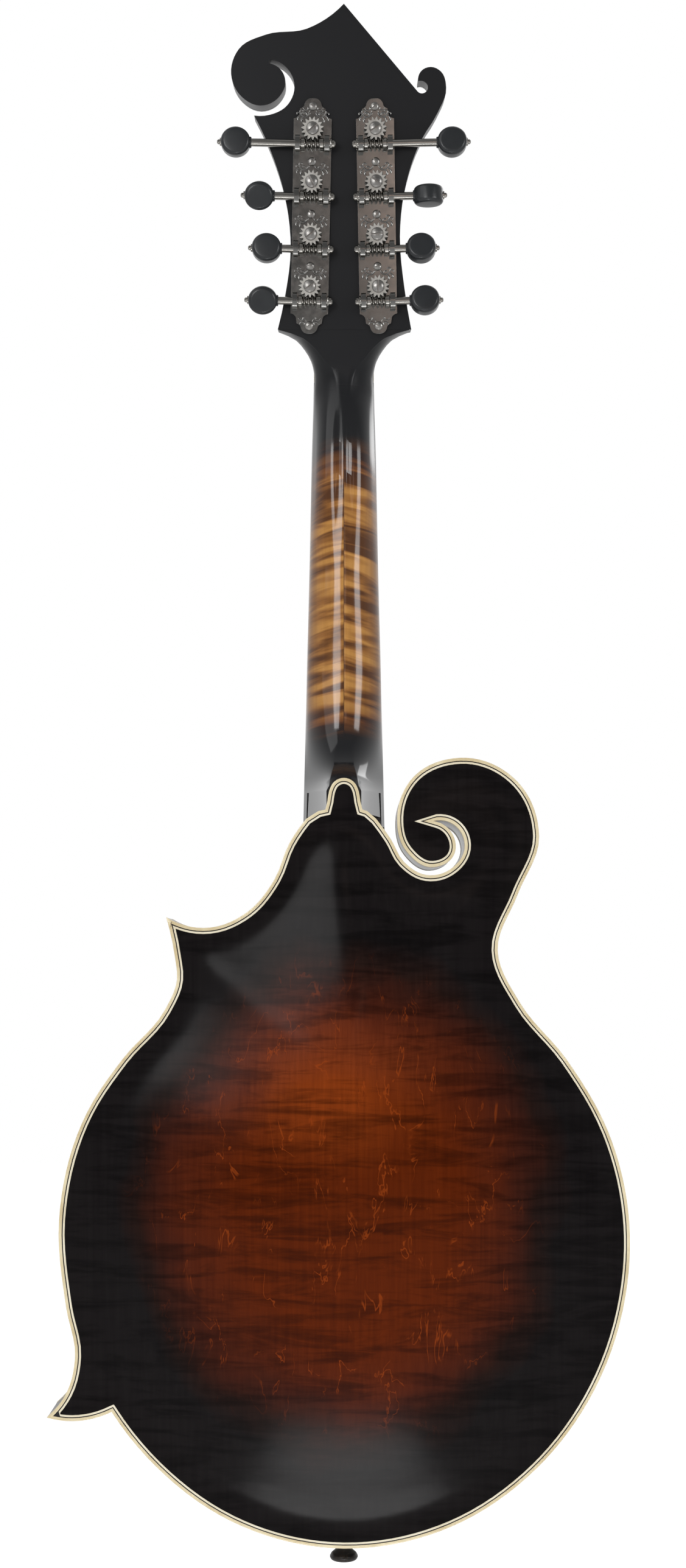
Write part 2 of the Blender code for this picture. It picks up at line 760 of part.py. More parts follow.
def tenon_mesh(name, clearance):
    """Return the dovetail that locks the neck into the head block, or its mortise."""
    root = TENON_HALF_WIDTH + clearance
    tip = root + TENON_FLARE
    end = BODY_LENGTH - TENON_LENGTH - clearance
    loop = [(-root, BODY_LENGTH + 0.002), (-tip, end), (tip, end), (root, BODY_LENGTH + 0.002)]
    margin = TENON_MARGIN - clearance
    return slab(name, [loop], RIM_TOP + margin, RIM_BACK - margin)


def add_tone_bars(body, edge):
    """Add the two bars glued lengthways under the top."""
    loop = inset(edge, BINDING_WIDTH + GAP)
    for side, hand in ((1, "bass"), (-1, "treble")):
        sections = []
        for i in range(9):
            share = i / 8
            x, y = Vector(TONE_BAR_FOOT).lerp(Vector(TONE_BAR_HEAD), share)
            x = side * x
            y = up_body(y)
            swell = (1 - TONE_BAR_END_SHARE) * math.sin(math.pi * share)
            height = TONE_BAR_HEIGHT * (TONE_BAR_END_SHARE + swell)
            distance = edge_distances([(x, y)], loop)[0]
            face = plate_thickness(distance) - arching((x, y), distance, TOP_ARCH) + GAP + PLATE_SAG
            half = TONE_BAR_WIDTH / 2
            corners = ((-half, 0), (half, 0), (half, height), (-half, height))
            sections.append([(x + across, y, face + deep) for across, deep in corners])
        add_piece(f"tone_bar_{hand}", loft(f"tone_bar_{hand}", sections), "raw_spruce", body)


def half_width(distance):
    """Return half the neck's width at a distance from the nut."""
    share = distance / NECK_JOIN
    width = FINGERBOARD_NUT_WIDTH + (FINGERBOARD_JOIN_WIDTH - FINGERBOARD_NUT_WIDTH) * share
    return width / 2


def mirrored(half):
    """Return a section's points from its +x half, which ends on the centre line."""
    return half + [(-x, z) for x, z in half[-2::-1]]


def neck_section(distance, depth, heel):
    """Return a section of the neck, which turns from a round back into the narrow heel."""
    wide = half_width(distance)
    half = []
    for k in range(7):
        angle = math.radians(15 * k)
        deep = math.sin(angle)
        round_x = wide * math.cos(angle)
        heel_x = HEEL_CAP_HALF_WIDTH + (wide - HEEL_CAP_HALF_WIDTH) * (1 - deep) ** 1.3
        if k == 6:
            heel_x = 0
        half.append((round_x + (heel_x - round_x) * heel, depth * deep))
    return [NECK_FRAME @ Vector((x, -distance, z)) for x, z in mirrored(half)]


def head_section(height, face_half, back_half, face=0.0, back=HEAD_THICKNESS):
    """Return a section of the flare between neck and head, flat across the back."""
    shape = ((0, 0), (0.06, 0.30), (0.28, 0.58), (0.62, 0.83), (1, 1))
    half = []
    for across, deep in shape:
        half.append((face_half + (back_half - face_half) * across, face + (back - face) * deep))
    half += [(back_half / 2, back), (0, back)]
    return [HEAD_FRAME @ Vector((x, height, z)) for x, z in mirrored(half)]


def neck_shaft():
    """Return the neck from its heel to the head's ears."""
    nut_depth = NECK_DEPTH_AT_NUT
    heel_depth = NECK_DEPTH_AT_HEEL
    full = OVERSTAND + BODY_DEPTH + NECK_OVERCUT
    start = NECK_JOIN - HEEL_CAP_LENGTH
    sections = [neck_section(NECK_JOIN + NECK_OVERCUT, full, 1)]
    sections += [neck_section(start - run, full * deep, heel) for run, deep, heel in HEEL_CURVE]
    sections += [
        neck_section(start - HEEL_RUN, heel_depth, 0),
        neck_section(NECK_JOIN * 0.45, (nut_depth + heel_depth) / 2, 0),
        neck_section(0.012, nut_depth, 0),
    ]
    below_nut = NUT_LENGTH + 0.006
    face = below_nut * math.tan(math.radians(HEAD_ANGLE))
    back = face + (NECK_DEPTH_AT_NUT + HEAD_THICKNESS) / 2
    sections.append(head_section(-below_nut, half_width(0.006), 0.0026, face, back))
    for height, face_half, back_half in HEAD_FLARE:
        sections.append(head_section(height, face_half, back_half))
    height, face_half, back_half = HEAD_FLARE[-1]
    inside = 0.0004
    sections.append(
        head_section(height + 0.0015, face_half - 0.002, back_half - 0.002, inside,
                     HEAD_THICKNESS - inside)
    )
    return loft("neck", sections)


def post_places(side):
    """Return where a side's four posts stand on the head, from the nut up."""
    places = []
    for i in range(4):
        y = LOWEST_POST + POST_SPACING * i
        x = PLATE_OFFSET - math.tan(math.radians(PLATE_TILT)) * (y - PLATE_CENTRE)
        places.append(Vector((side * x, y)))
    return places


def add_neck(neck_frame, head_frame, body):
    """Add the neck: shaft, heel, dovetail and head in one piece of maple."""
    neck = add_piece("neck", neck_shaft(), "neck_lacquer", None)
    head_slab = slab("head_slab", [smooth_loop(HEAD_KNOTS)], 0, HEAD_THICKNESS)
    combine(neck, add_cutter("head_slab", head_slab, head_frame), "UNION")
    riser = [
        [(side * wide, -distance, z) for side, z in
         ((-1, RISER_SINK), (1, RISER_SINK), (1, deep), (-1, deep))]
        for distance, wide, deep in (
            (NECK_JOIN - 0.012, half_width(NECK_JOIN) - 0.0015, RISER_DEPTH),
            (NECK_JOIN + 0.036, half_width(NECK_JOIN + 0.036) - 0.0015, RISER_END_DEPTH),
        )
    ]
    trims = (
        ("heel_trim", (-0.04, BODY_LENGTH - 0.03, RISER_DEPTH - OVERSTAND),
         (0.04, BODY_LENGTH + GAP, 0.09)),
        ("cap_trim", (-0.04, BODY_LENGTH - 0.03, RIM_BACK), (0.04, BODY_LENGTH + 0.09, 0.09)),
    )
    for name, low, high in trims:
        combine(neck, add_cutter(name, box(name, low, high), body), "DIFFERENCE")
    combine(neck, add_cutter("riser", loft("riser", riser), neck_frame), "UNION")
    combine(neck, add_cutter("tenon", tenon_mesh("tenon", 0), body), "UNION")
    width = TRUSS_ROD_RADIUS + 2 * GAP
    deep = TRUSS_ROD_DEPTH + TRUSS_ROD_RADIUS + 2 * GAP
    channel = box("rod_channel", (-width, -TRUSS_ROD_REACH - 0.002, -0.002), (width, 0.012, deep))
    combine(neck, add_cutter("rod_channel", channel, neck_frame), "DIFFERENCE")
    pocket = pocket_mesh("rod_pocket", -0.002)
    combine(neck, add_cutter("rod_pocket", pocket, head_frame), "DIFFERENCE")
    for side, hand in ((1, "bass"), (-1, "treble")):
        for i, place in enumerate(post_places(side)):
            name = f"post_bore_{hand}_{i + 1}"
            bore = rod(name, POST_HOLE_RADIUS, -0.01, HEAD_THICKNESS + 0.004, POST_FACETS)
            bore = add_cutter(name, bore, head_frame, Matrix.Translation((*place, 0)))
            combine(neck, bore, "DIFFERENCE")
    return neck


def pocket_mesh(name, low):
    """Return the pocket in the head that opens onto the truss rod's nut."""
    half = TRUSS_NUT_RADIUS + 0.0011
    deep = TRUSS_ROD_DEPTH + TRUSS_NUT_RADIUS + GAP
    return box(name, (-half, low, -0.01), (half, 0.023, deep))


def add_truss_rod(neck_frame):
    """Add the rod with its nut, laid in the neck under the fingerboard."""
    end = NUT_LENGTH + 0.016
    thick = TRUSS_NUT_RADIUS
    profile = [
        (0, end),
        (thick, end),
        (thick, end - TRUSS_NUT_LENGTH),
        (TRUSS_ROD_RADIUS, end - TRUSS_NUT_LENGTH),
        (TRUSS_ROD_RADIUS, -TRUSS_ROD_REACH),
        (0, -TRUSS_ROD_REACH),
    ]
    place = Matrix.Translation((0, 0, TRUSS_ROD_DEPTH)) @ Matrix.Rotation(-math.pi / 2, 4, "X")
    add_piece("truss_rod", turned("truss_rod", profile, 8), "steel", neck_frame, place)


def add_overlay(head_frame):
    """Add the head's face veneer and the cover over the truss rod's pocket."""
    flare = [(-wide, height) for height, wide, back in HEAD_FLARE[3:0:-1]]
    foot = HEAD_FLARE[0][1]
    corners = [(-foot, GAP, "corner"), (foot, GAP, "corner")]
    loop = smooth_loop(
        list(HEAD_KNOTS) + flare + corners + [(-x, y) for x, y in flare[::-1]]
    )
    veneer = slab("headstock_overlay", [loop], -GAP - OVERLAY_THICKNESS, -GAP)
    veneer = add_piece("headstock_overlay", veneer, "ebony", head_frame)
    combine(veneer, bpy.data.objects["rod_pocket"], "DIFFERENCE")
    for hand in ("bass", "treble"):
        for i in range(4):
            combine(veneer, bpy.data.objects[f"post_bore_{hand}_{i + 1}"], "DIFFERENCE")
    face = -2 * GAP - OVERLAY_THICKNESS
    bell = smooth_loop(TRUSS_COVER_KNOTS)
    cover = slab("truss_rod_cover", [bell], face - TRUSS_COVER_THICKNESS, face)
    add_piece("truss_rod_cover", cover, "ebony", head_frame)


def add_fingerboard(neck_frame):
    """Add the fingerboard with its frets: one side profile lofted across the width."""
    end = along_neck(FRET_COUNT) + 0.004
    profile = [(0, -GAP), (end, -GAP), (end, -FINGERBOARD_THICKNESS)]
    crown = -FINGERBOARD_THICKNESS - FRET_HEIGHT
    for fret in range(FRET_COUNT, 0, -1):
        middle = along_neck(fret)
        for shift, level in ((1, 0), (0.45, 1), (-0.45, 1), (-1, 0)):
            height = crown if level else -FINGERBOARD_THICKNESS
            profile.append((middle + shift * FRET_WIDTH / 2, height))
    profile.append((0, -FINGERBOARD_THICKNESS))
    sections = [
        [(side * half_width(distance), -distance, z) for distance, z in profile]
        for side in (-1, 1)
    ]
    add_piece("fingerboard", loft("fingerboard", sections), "ebony", neck_frame)


def string_table():
    """Return each string's name, diameter and its x at the nut, the saddle and the tailpiece."""
    rows = []
    for i, (course, diameter) in enumerate(COURSES):
        for pair, number in ((-0.5, 1), (0.5, 2)):
            step = i - 1.5
            rows.append(
                {
                    "name": f"string_{course}{number}",
                    "diameter": diameter,
                    "nut": step * NUT_COURSE_SPACING + pair * NUT_PAIR_SPACING,
                    "saddle": step * SADDLE_COURSE_SPACING + pair * SADDLE_PAIR_SPACING,
                    "hook": step * HOOK_COURSE_SPACING + pair * HOOK_PAIR_SPACING,
                }
            )
    return rows


def nut_slot_height():
    """Return the height of the nut's slots over the glue plane."""
    return FINGERBOARD_THICKNESS + FRET_HEIGHT + NUT_SLOT_CLEARANCE


def add_nut(neck_frame):
    """Add the nut: its front outline with a slot for each string, extruded along the neck."""
    half = FINGERBOARD_NUT_WIDTH / 2
    crest = nut_slot_height() + 0.0010
    loop = [(-half, GAP), (half, GAP), (half, crest - 0.0006), (half - 0.001, crest)]
    for row in reversed(string_table()):
        wide = row["diameter"] / 2 + GAP
        loop += [(row["nut"] + wide, crest), (row["nut"] + wide, nut_slot_height())]
        loop += [(row["nut"] - wide, nut_slot_height()), (row["nut"] - wide, crest)]
    loop += [(-half + 0.001, crest), (-half, crest - 0.0006)]
    place = Matrix.Rotation(-math.pi / 2, 4, "X")
    add_piece("nut", slab("nut", [loop], GAP, NUT_LENGTH), "bone", neck_frame, place)


def saddle_point():
    """Return the saddle's place up the body, and the height of its crown over the rim plane."""
    rise = nut_slot_height() + FRET_HEIGHT + STRING_RISE_PER_LENGTH * SCALE_LENGTH
    crown = BODY_FRAME.inverted() @ (NECK_FRAME @ Vector((0, -SCALE_LENGTH, -rise)))
    return crown.y, -crown.z


def add_bridge(body, edge):
    """Add the bridge: arched base with its studs, two thumbwheels and the saddle on them."""
    loop = inset(edge, BINDING_WIDTH + GAP)
    seat, crown = saddle_point()

    def foot_height(x):
        around = [(x, seat + BRIDGE_WIDTH * step / 2) for step in (-1, 0, 1)]
        distances = edge_distances(around, loop)
        return max(arching(p, d, TOP_ARCH) for p, d in zip(around, distances)) + GAP

    sections = []
    for i in range(11):
        share = i / 5 - 1
        x = share * BRIDGE_BASE_LENGTH / 2
        foot = foot_height(x)
        height = BRIDGE_TIP_HEIGHT + (BRIDGE_BASE_HEIGHT - BRIDGE_TIP_HEIGHT) * ease(
            1.25 - abs(share)
        )
        half = BRIDGE_WIDTH / 2 * (1 - 0.25 * abs(share) ** 3)
        corners = ((-half, 0), (half, 0), (half * 0.72, height), (-half * 0.72, height))
        sections.append([(x, seat + along, -foot - up) for along, up in corners])
    base = add_piece("bridge_base", loft("bridge_base", sections), "ebony", body)
    deck = foot_height(0) + BRIDGE_BASE_HEIGHT
    saddle_foot = deck + WHEEL_CLEARANCE + THUMBWHEEL_THICKNESS + GAP
    print(f"saddle stands {(crown - saddle_foot) * 1000:.1f} mm tall on its wheels")
    saddle = saddle_mesh(seat, saddle_foot, crown)
    saddle = add_piece("bridge_saddle", saddle, "ebony", body)
    for side, hand in ((1, "bass"), (-1, "treble")):
        place = Matrix.Translation((side * STUD_SPACING / 2, seat, 0))
        stud_top = saddle_foot + SADDLE_BORE_DEPTH - STUD_FREE_LENGTH
        stud_foot = foot_height(place.translation.x) + BRIDGE_TIP_HEIGHT / 2
        stud = rod(f"stud_{hand}", STUD_RADIUS, -stud_top, -stud_foot, 12)
        combine(base, add_cutter(stud.name, stud, body, place), "UNION")
        bore = rod(f"stud_bore_{hand}", STUD_BORE_RADIUS, -saddle_foot - SADDLE_BORE_DEPTH, 0, 12)
        bore = add_cutter(bore.name, bore, body, place)
        combine(saddle, bore, "DIFFERENCE")
        low = -saddle_foot + GAP
        name = f"bridge_wheel_{hand}"
        place = Matrix.Translation((side * STUD_SPACING / 2, seat, low + THUMBWHEEL_THICKNESS / 2))
        add_piece(name, thumbwheel_mesh(name), "nickel", body, place)


def thumbwheel_mesh(name):
    """Return a thumbwheel: a knurled disc with a hole for its stud."""
    rim = []
    for i in range(24):
        angle = math.tau * i / 24
        radius = THUMBWHEEL_RADIUS - (0.0003 if i % 2 else 0)
        rim.append((radius * math.cos(angle), radius * math.sin(angle)))
    hole = []
    for i in range(12):
        angle = math.tau * i / 12
        hole.append((STUD_BORE_RADIUS * math.cos(angle), STUD_BORE_RADIUS * math.sin(angle)))
    return slab(name, [rim, hole], -THUMBWHEEL_THICKNESS / 2, THUMBWHEEL_THICKNESS / 2)


def saddle_mesh(seat, foot, crown):
    """Return the saddle: thick at its foot, narrow on top, with its ends sloped in."""
    long_half = SADDLE_LENGTH / 2
    top_half = SADDLE_TOP_LENGTH / 2
    shoulder = foot + SADDLE_SHOULDER
    sections = []
    for height, length, thick in (
        (foot, long_half, SADDLE_THICKNESS),
        (shoulder, long_half, SADDLE_THICKNESS),
        (crown - 0.0010, top_half, SADDLE_TOP_THICKNESS),
        (crown, top_half - 0.0008, SADDLE_TOP_THICKNESS * 0.6),
    ):
        half = thick / 2
        corners = ((-length, -half), (length, -half), (length, half), (-length, half))
        sections.append([(x, seat + along, -height) for x, along in corners])
    return loft("bridge_saddle", sections)


def strap_frame():
    """Return the frame of the tailpiece's strap: y up along it, z towards the back."""
    return Matrix.Translation((0, -GAP, -STRAP_LIFT)) @ Matrix.Rotation(
        math.radians(-STRAP_SLOPE), 4, "X"
    )


def add_tailpiece(body):
    """Add the tailpiece: a sloping strap with eight hooks, its flange, and the slide-on cover."""
    strap = strap_frame()
    half = STRAP_WIDTH / 2
    loop = [(-half, -STRAP_THICKNESS), (half, -STRAP_THICKNESS), (half, STRAP_LENGTH - 0.004)]
    loop.append((half - 0.004, STRAP_LENGTH))
    for row in reversed(string_table()):
        for step, reach in ((1, 0), (1, 1), (-1, 1), (-1, 0)):
            x = row["hook"] + step * HOOK_WIDTH / 2
            loop.append((x, STRAP_LENGTH + reach * HOOK_LENGTH))
    loop += [(-half + 0.004, STRAP_LENGTH), (-half, STRAP_LENGTH - 0.004)]
    mesh = slab("tailpiece_base", [loop], -STRAP_THICKNESS, 0)
    base = add_piece("tailpiece_base", mesh, "nickel", body, strap)
    half = FLANGE_WIDTH / 2
    flange = [(-half, STRAP_LIFT + 0.0006), (-half * 0.45, -FLANGE_DROP)]
    flange += [(half * 0.45, -FLANGE_DROP), (half, STRAP_LIFT + 0.0006)]
    hole = []
    for i in range(16):
        angle = math.tau * i / 16
        radius = PIN_SHANK_RADIUS + GAP
        hole.append((radius * math.cos(angle), radius * math.sin(angle) - BODY_DEPTH / 2))
    mesh = slab("flange", [flange, hole], -STRAP_THICKNESS - GAP, -GAP)
    place = Matrix.Rotation(-math.pi / 2, 4, "X")
    combine(base, add_cutter("flange", mesh, body, place), "UNION")
    add_piece("tailpiece_cover", cover_mesh(), "nickel", body)


def cover_section(station, lift, shrink):
    """Return an arched section of the tailpiece's cover at a station up from the tail."""
    half = STRAP_WIDTH / 2 + GAP + COVER_WALL - shrink
    floor = STRAP_LIFT + max(station, 0) * math.tan(math.radians(STRAP_SLOPE)) * 0.93 - 0.0012
    crown = floor + lift + COVER_CROWN - shrink
    shape = ((1, 0), (1, 0.52), (0.86, 0.80), (0.5, 0.95), (0, 1))
    points = [(half * x, floor + (crown - floor) * z) for x, z in shape]
    if shrink:
        points[0] = (half, floor - 0.004)
    return [(x, station, -z) for x, z in mirrored(points)]


def cover_mesh():
    """Return the cover: an arched shell, open below and at its front, closed at the tail."""
    tail = -GAP * 2 - STRAP_THICKNESS - COVER_WALL
    stations = ((tail, -0.004), (tail + 0.004, 0), (0.030, 0.0), (COVER_LENGTH + tail, -0.0025))
    outer = loft("cover_outside", [cover_section(y, lift, 0) for y, lift in stations])
    hollow = [(tail + COVER_WALL, -0.004)] + list(stations[1:])
    hollow[-1] = (COVER_LENGTH + tail + 0.002, -0.0025)
    inner = loft("cover_inside", [cover_section(y, lift, COVER_WALL) for y, lift in hollow])
    shell = bpy.data.objects.new("cover_shell", outer)
    bpy.data.collections["cutters"].objects.link(shell)
    combine(shell, add_cutter("cover_inside", inner, None), "DIFFERENCE")
    mesh = evaluated_mesh(shell, "tailpiece_cover")
    bpy.data.objects.remove(shell)
    return mesh


def add_end_pin(body):
    """Add the end pin, its shank in the tail block and its flat end towards the floor."""
    head_start = GAP * 2 + STRAP_THICKNESS
    profile = [
        (0, PIN_REACH),
        (PIN_RADIUS * 0.72, PIN_REACH),
        (PIN_RADIUS * 0.94, PIN_REACH - 0.0007),
        (PIN_RADIUS, PIN_REACH - 0.0020),
        (PIN_RADIUS * 0.92, PIN_REACH - 0.0034),
        (PIN_WAIST_RADIUS, PIN_REACH - 0.0058),
        (PIN_WAIST_RADIUS + 0.0008, head_start),
        (PIN_SHANK_RADIUS, head_start),
        (PIN_SHANK_RADIUS * 0.9, -PIN_SHANK_LENGTH),
        (0, -PIN_SHANK_LENGTH),
    ]
    place = Matrix.Translation((0, 0, BODY_DEPTH / 2)) @ Matrix.Rotation(math.pi / 2, 4, "X")
    add_piece("end_pin", turned("end_pin", profile, 14), "ebony", body, place)


def tuner_plate_mesh():
    """Return a tuner plate with its shaped ends, post holes and the eight bearing lugs."""
    half = PLATE_WIDTH / 2
    end = PLATE_LENGTH / 2
    corner = []
    for x, y in (
        (half, end - 0.0088),
        (half * 0.84, end - 0.0080),
        (half * 0.70, end - 0.0064),
        (half * 0.68, end - 0.0045),
        (half * 0.52, end - 0.0034),
        (half * 0.40, end - 0.0022),
        (half * 0.20, end - 0.0004),
        (0, end),
    ):
        corner.append(Vector((x, y)))
    right = corner + [Vector((-p.x, p.y)) for p in corner[-2::-1]]
    loop = right + [Vector((-p.x, -p.y)) for p in right]
    holes = []
    for along in post_steps():
        holes.append([])
        for i in range(POST_FACETS):
            angle = math.tau * i / POST_FACETS
            spot = Vector((math.cos(angle), math.sin(angle))) * POST_HOLE_RADIUS
            holes[-1].append(spot + Vector((0, along)))
    plate = bpy.data.objects.new(
        "tuner_plate", slab("tuner_plate", [loop] + holes, 0, PLATE_THICKNESS)
    )
    bpy.data.collections["cutters"].objects.link(plate)
    inner = LUG_SPAN / 2
    axis = PLATE_THICKNESS + SHAFT_HEIGHT
    for i, along in enumerate(post_steps()):
        shaft = along - SHAFT_DISTANCE
        for side in (-1, 1):
            near = side * inner
            far = side * (inner + LUG_THICKNESS)
            low = (min(near, far), shaft - LUG_WIDTH / 2, PLATE_THICKNESS / 2)
            high = (max(near, far), shaft + LUG_WIDTH / 2, PLATE_THICKNESS + LUG_HEIGHT)
            lug = box(f"lug_{i}_{side}", low, high)
            combine(plate, add_cutter(lug.name, lug, None), "UNION")
        bore = rod(f"lug_bore_{i}", LUG_BORE_RADIUS, -PLATE_WIDTH, PLATE_WIDTH, 8)
        place = Matrix.Translation((0, shaft, axis)) @ Matrix.Rotation(math.pi / 2, 4, "Y")
        combine(plate, add_cutter(bore.name, bore, None, place), "DIFFERENCE")
    mesh = evaluated_mesh(plate, "tuner_plate")
    bpy.data.objects.remove(plate)
    return mesh


def post_steps():
    """Return where the four posts stand along a tuner plate, from its middle."""
    cosine = math.cos(math.radians(PLATE_TILT))
    first = (LOWEST_POST - PLATE_CENTRE) / cosine
    return [first + POST_SPACING * i / cosine for i in range(4)]


def gear_outline(twist):
    """Return the gear's toothed outline, turned by a twist, with a tooth straight down."""
    pitch_radius = GEAR_TEETH * WORM_PITCH / math.tau
    slope = math.tan(math.radians(FLANK_ANGLE))
    middle = TOOTH_SHARE * WORM_PITCH
    tip = middle - 2 * (GEAR_TIP_RADIUS - pitch_radius) * slope
    root = middle + 2 * (pitch_radius - GEAR_ROOT_RADIUS) * slope
    loop = []
    for k in range(GEAR_TEETH):
        centre = math.tau * k / GEAR_TEETH - math.pi / 2 + twist
        for radius, half in (
            (GEAR_ROOT_RADIUS, -root / 2),
            (GEAR_TIP_RADIUS, -tip / 2),
            (GEAR_TIP_RADIUS, tip / 2),
            (GEAR_ROOT_RADIUS, root / 2),
        ):
            angle = centre + half / radius
            loop.append((radius * math.cos(angle), radius * math.sin(angle)))
    return loop


def post_mesh():
    """Return a string post with its gear and screw, its z from the worm's axis."""
    pitch_radius = GEAR_TEETH * WORM_PITCH / math.tau
    worm_radius = SHAFT_DISTANCE - pitch_radius
    skew = WORM_PITCH / (math.tau * worm_radius * pitch_radius)
    levels = (-GEAR_BELOW_AXIS, GEAR_ABOVE_AXIS)
    wheel = loft(
        "gear_wheel", [[(x, y, z) for x, y in gear_outline(z * skew)] for z in levels]
    )
    plate_face = -SHAFT_HEIGHT
    wood_face = plate_face - PLATE_THICKNESS - GAP - HEAD_THICKNESS
    veneer_face = wood_face - GAP - OVERLAY_THICKNESS
    screw_top = GEAR_ABOVE_AXIS + GEAR_SCREW_HEIGHT
    profile = [
        (0, screw_top),
        (POST_RADIUS, screw_top),
        (POST_RADIUS, veneer_face - 0.0018),
        (POST_WAIST_RADIUS, veneer_face - 0.0024),
        (POST_WAIST_RADIUS, veneer_face - POST_HEIGHT + 0.0028),
        (POST_RADIUS * 0.94, veneer_face - POST_HEIGHT + 0.0018),
        (POST_RADIUS * 0.94, veneer_face - POST_HEIGHT),
        (0, veneer_face - POST_HEIGHT),
    ]
    post = bpy.data.objects.new("post_gear", turned("post_gear", profile, POST_FACETS))
    bpy.data.collections["cutters"].objects.link(post)
    combine(post, add_cutter("gear_wheel", wheel, None), "UNION")
    mesh = evaluated_mesh(post, "post_gear")
    bpy.data.objects.remove(post)
    return mesh


def worm_thread(length):
    """Return the worm's thread: one pitch of its profile spun into a helix, with flat ends."""
    pitch_radius = SHAFT_DISTANCE - GEAR_TEETH * WORM_PITCH / math.tau
    slope = math.tan(math.radians(FLANK_ANGLE))
    middle = TOOTH_SHARE * WORM_PITCH
    tip = middle - 2 * (WORM_TIP_RADIUS - pitch_radius) * slope
    root = middle + 2 * (pitch_radius - WORM_ROOT_RADIUS) * slope
    turns = math.ceil(length / WORM_PITCH) + 2
    bm = bmesh.new()
    profile = (
        (WORM_ROOT_RADIUS, (WORM_PITCH - root) / 2),
        (WORM_TIP_RADIUS, (WORM_PITCH - tip) / 2),
        (WORM_TIP_RADIUS, (WORM_PITCH + tip) / 2),
        (WORM_ROOT_RADIUS, (WORM_PITCH + root) / 2),
        (WORM_ROOT_RADIUS, (WORM_PITCH - root) / 2 + WORM_PITCH),
    )
    verts = [bm.verts.new((radius, 0, z)) for radius, z in profile]
    edges = [bm.edges.new(pair) for pair in zip(verts, verts[1:])]
    bmesh.ops.spin(
        bm,
        geom=verts + edges,
        axis=(0, 0, 1),
        dvec=(0, 0, WORM_PITCH / WORM_FACETS),
        angle=math.tau * turns,
        steps=WORM_FACETS * turns,
    )
    bmesh.ops.remove_doubles(bm, verts=bm.verts[:], dist=1e-6)
    middle_z = WORM_PITCH * ((turns + 1) // 2)
    bmesh.ops.translate(bm, verts=bm.verts[:], vec=(0, 0, -middle_z))
    for side in (-1, 1):
        geometry = bm.verts[:] + bm.edges[:] + bm.faces[:]
        bmesh.ops.bisect_plane(
            bm,
            geom=geometry,
            plane_co=(0, 0, side * length / 2),
            plane_no=(0, 0, side),
            dist=1e-6,
            clear_outer=True,
        )
    bmesh.ops.holes_fill(bm, edges=[edge for edge in bm.edges if edge.is_boundary])
    return closed_mesh("worm_thread", bm)


def worm_shaft_mesh(reach):
    """Return a worm shaft, its z along the axis towards the button, 0 at the gear."""
    lug_near = LUG_SPAN / 2
    lug_far = lug_near + LUG_THICKNESS
    cap = -lug_far - GAP
    end = reach - BUTTON_LENGTH / 2 + 0.0010
    collar = lug_near - GAP
    profile = [
        (0, end),
        (SHAFT_RADIUS, end),
        (SHAFT_RADIUS, collar),
        (COLLAR_RADIUS, collar),
        (COLLAR_RADIUS, collar - COLLAR_LENGTH),
        (WORM_ROOT_RADIUS * 0.8, collar - COLLAR_LENGTH),
        (WORM_ROOT_RADIUS * 0.8, COLLAR_LENGTH - collar),
        (COLLAR_RADIUS, COLLAR_LENGTH - collar),
        (COLLAR_RADIUS, -collar),
        (SHAFT_RADIUS, -collar),
        (SHAFT_RADIUS, cap),
        (COLLAR_RADIUS, cap),
        (COLLAR_RADIUS, cap - 0.0007),
        (SHAFT_RADIUS * 0.6, cap - 0.0024),
        (0, cap - 0.0024),
    ]
    shaft = bpy.data.objects.new("worm_shaft", turned("worm_shaft", profile, WORM_FACETS))
    bpy.data.collections["cutters"].objects.link(shaft)
    thread = worm_thread(2 * (collar - COLLAR_LENGTH) + 0.0008)
    combine(shaft, add_cutter("worm_thread", thread, None), "UNION")
    mesh = evaluated_mesh(shaft, "worm_shaft")
    bpy.data.objects.remove(shaft)
    return mesh


def button_mesh():
    """Return a tuner button: a thick oval disc with eased edges, bored for its shaft."""
    half = BUTTON_THICKNESS / 2
    radius = BUTTON_LENGTH / 2
    profile = [
        (0, half),
        (radius - BUTTON_EDGE, half),
        (radius, half - BUTTON_EDGE),
        (radius, BUTTON_EDGE - half),
        (radius - BUTTON_EDGE, -half),
        (0, -half),
    ]
    disc = turned("tuner_button", profile, 14)
    disc.transform(Matrix.Diagonal((1, BUTTON_WIDTH / BUTTON_LENGTH, 1, 1)))
    blank = bpy.data.objects.new("tuner_button", disc)
    bpy.data.collections["cutters"].objects.link(blank)
    bore = rod("button_bore", SHAFT_RADIUS + GAP, -radius - 0.001, 0.0010 - radius + GAP, 8)
    place = Matrix.Rotation(math.pi / 2, 4, "Y")
    combine(blank, add_cutter("button_bore", bore, None, place), "DIFFERENCE")
    tip = rod("button_tip", 0.0011, radius - 0.001, radius + SHAFT_TIP, 6)
    combine(blank, add_cutter("button_tip", tip, None, place), "UNION")
    mesh = evaluated_mesh(blank, "tuner_button")
    bpy.data.objects.remove(blank)
    return mesh


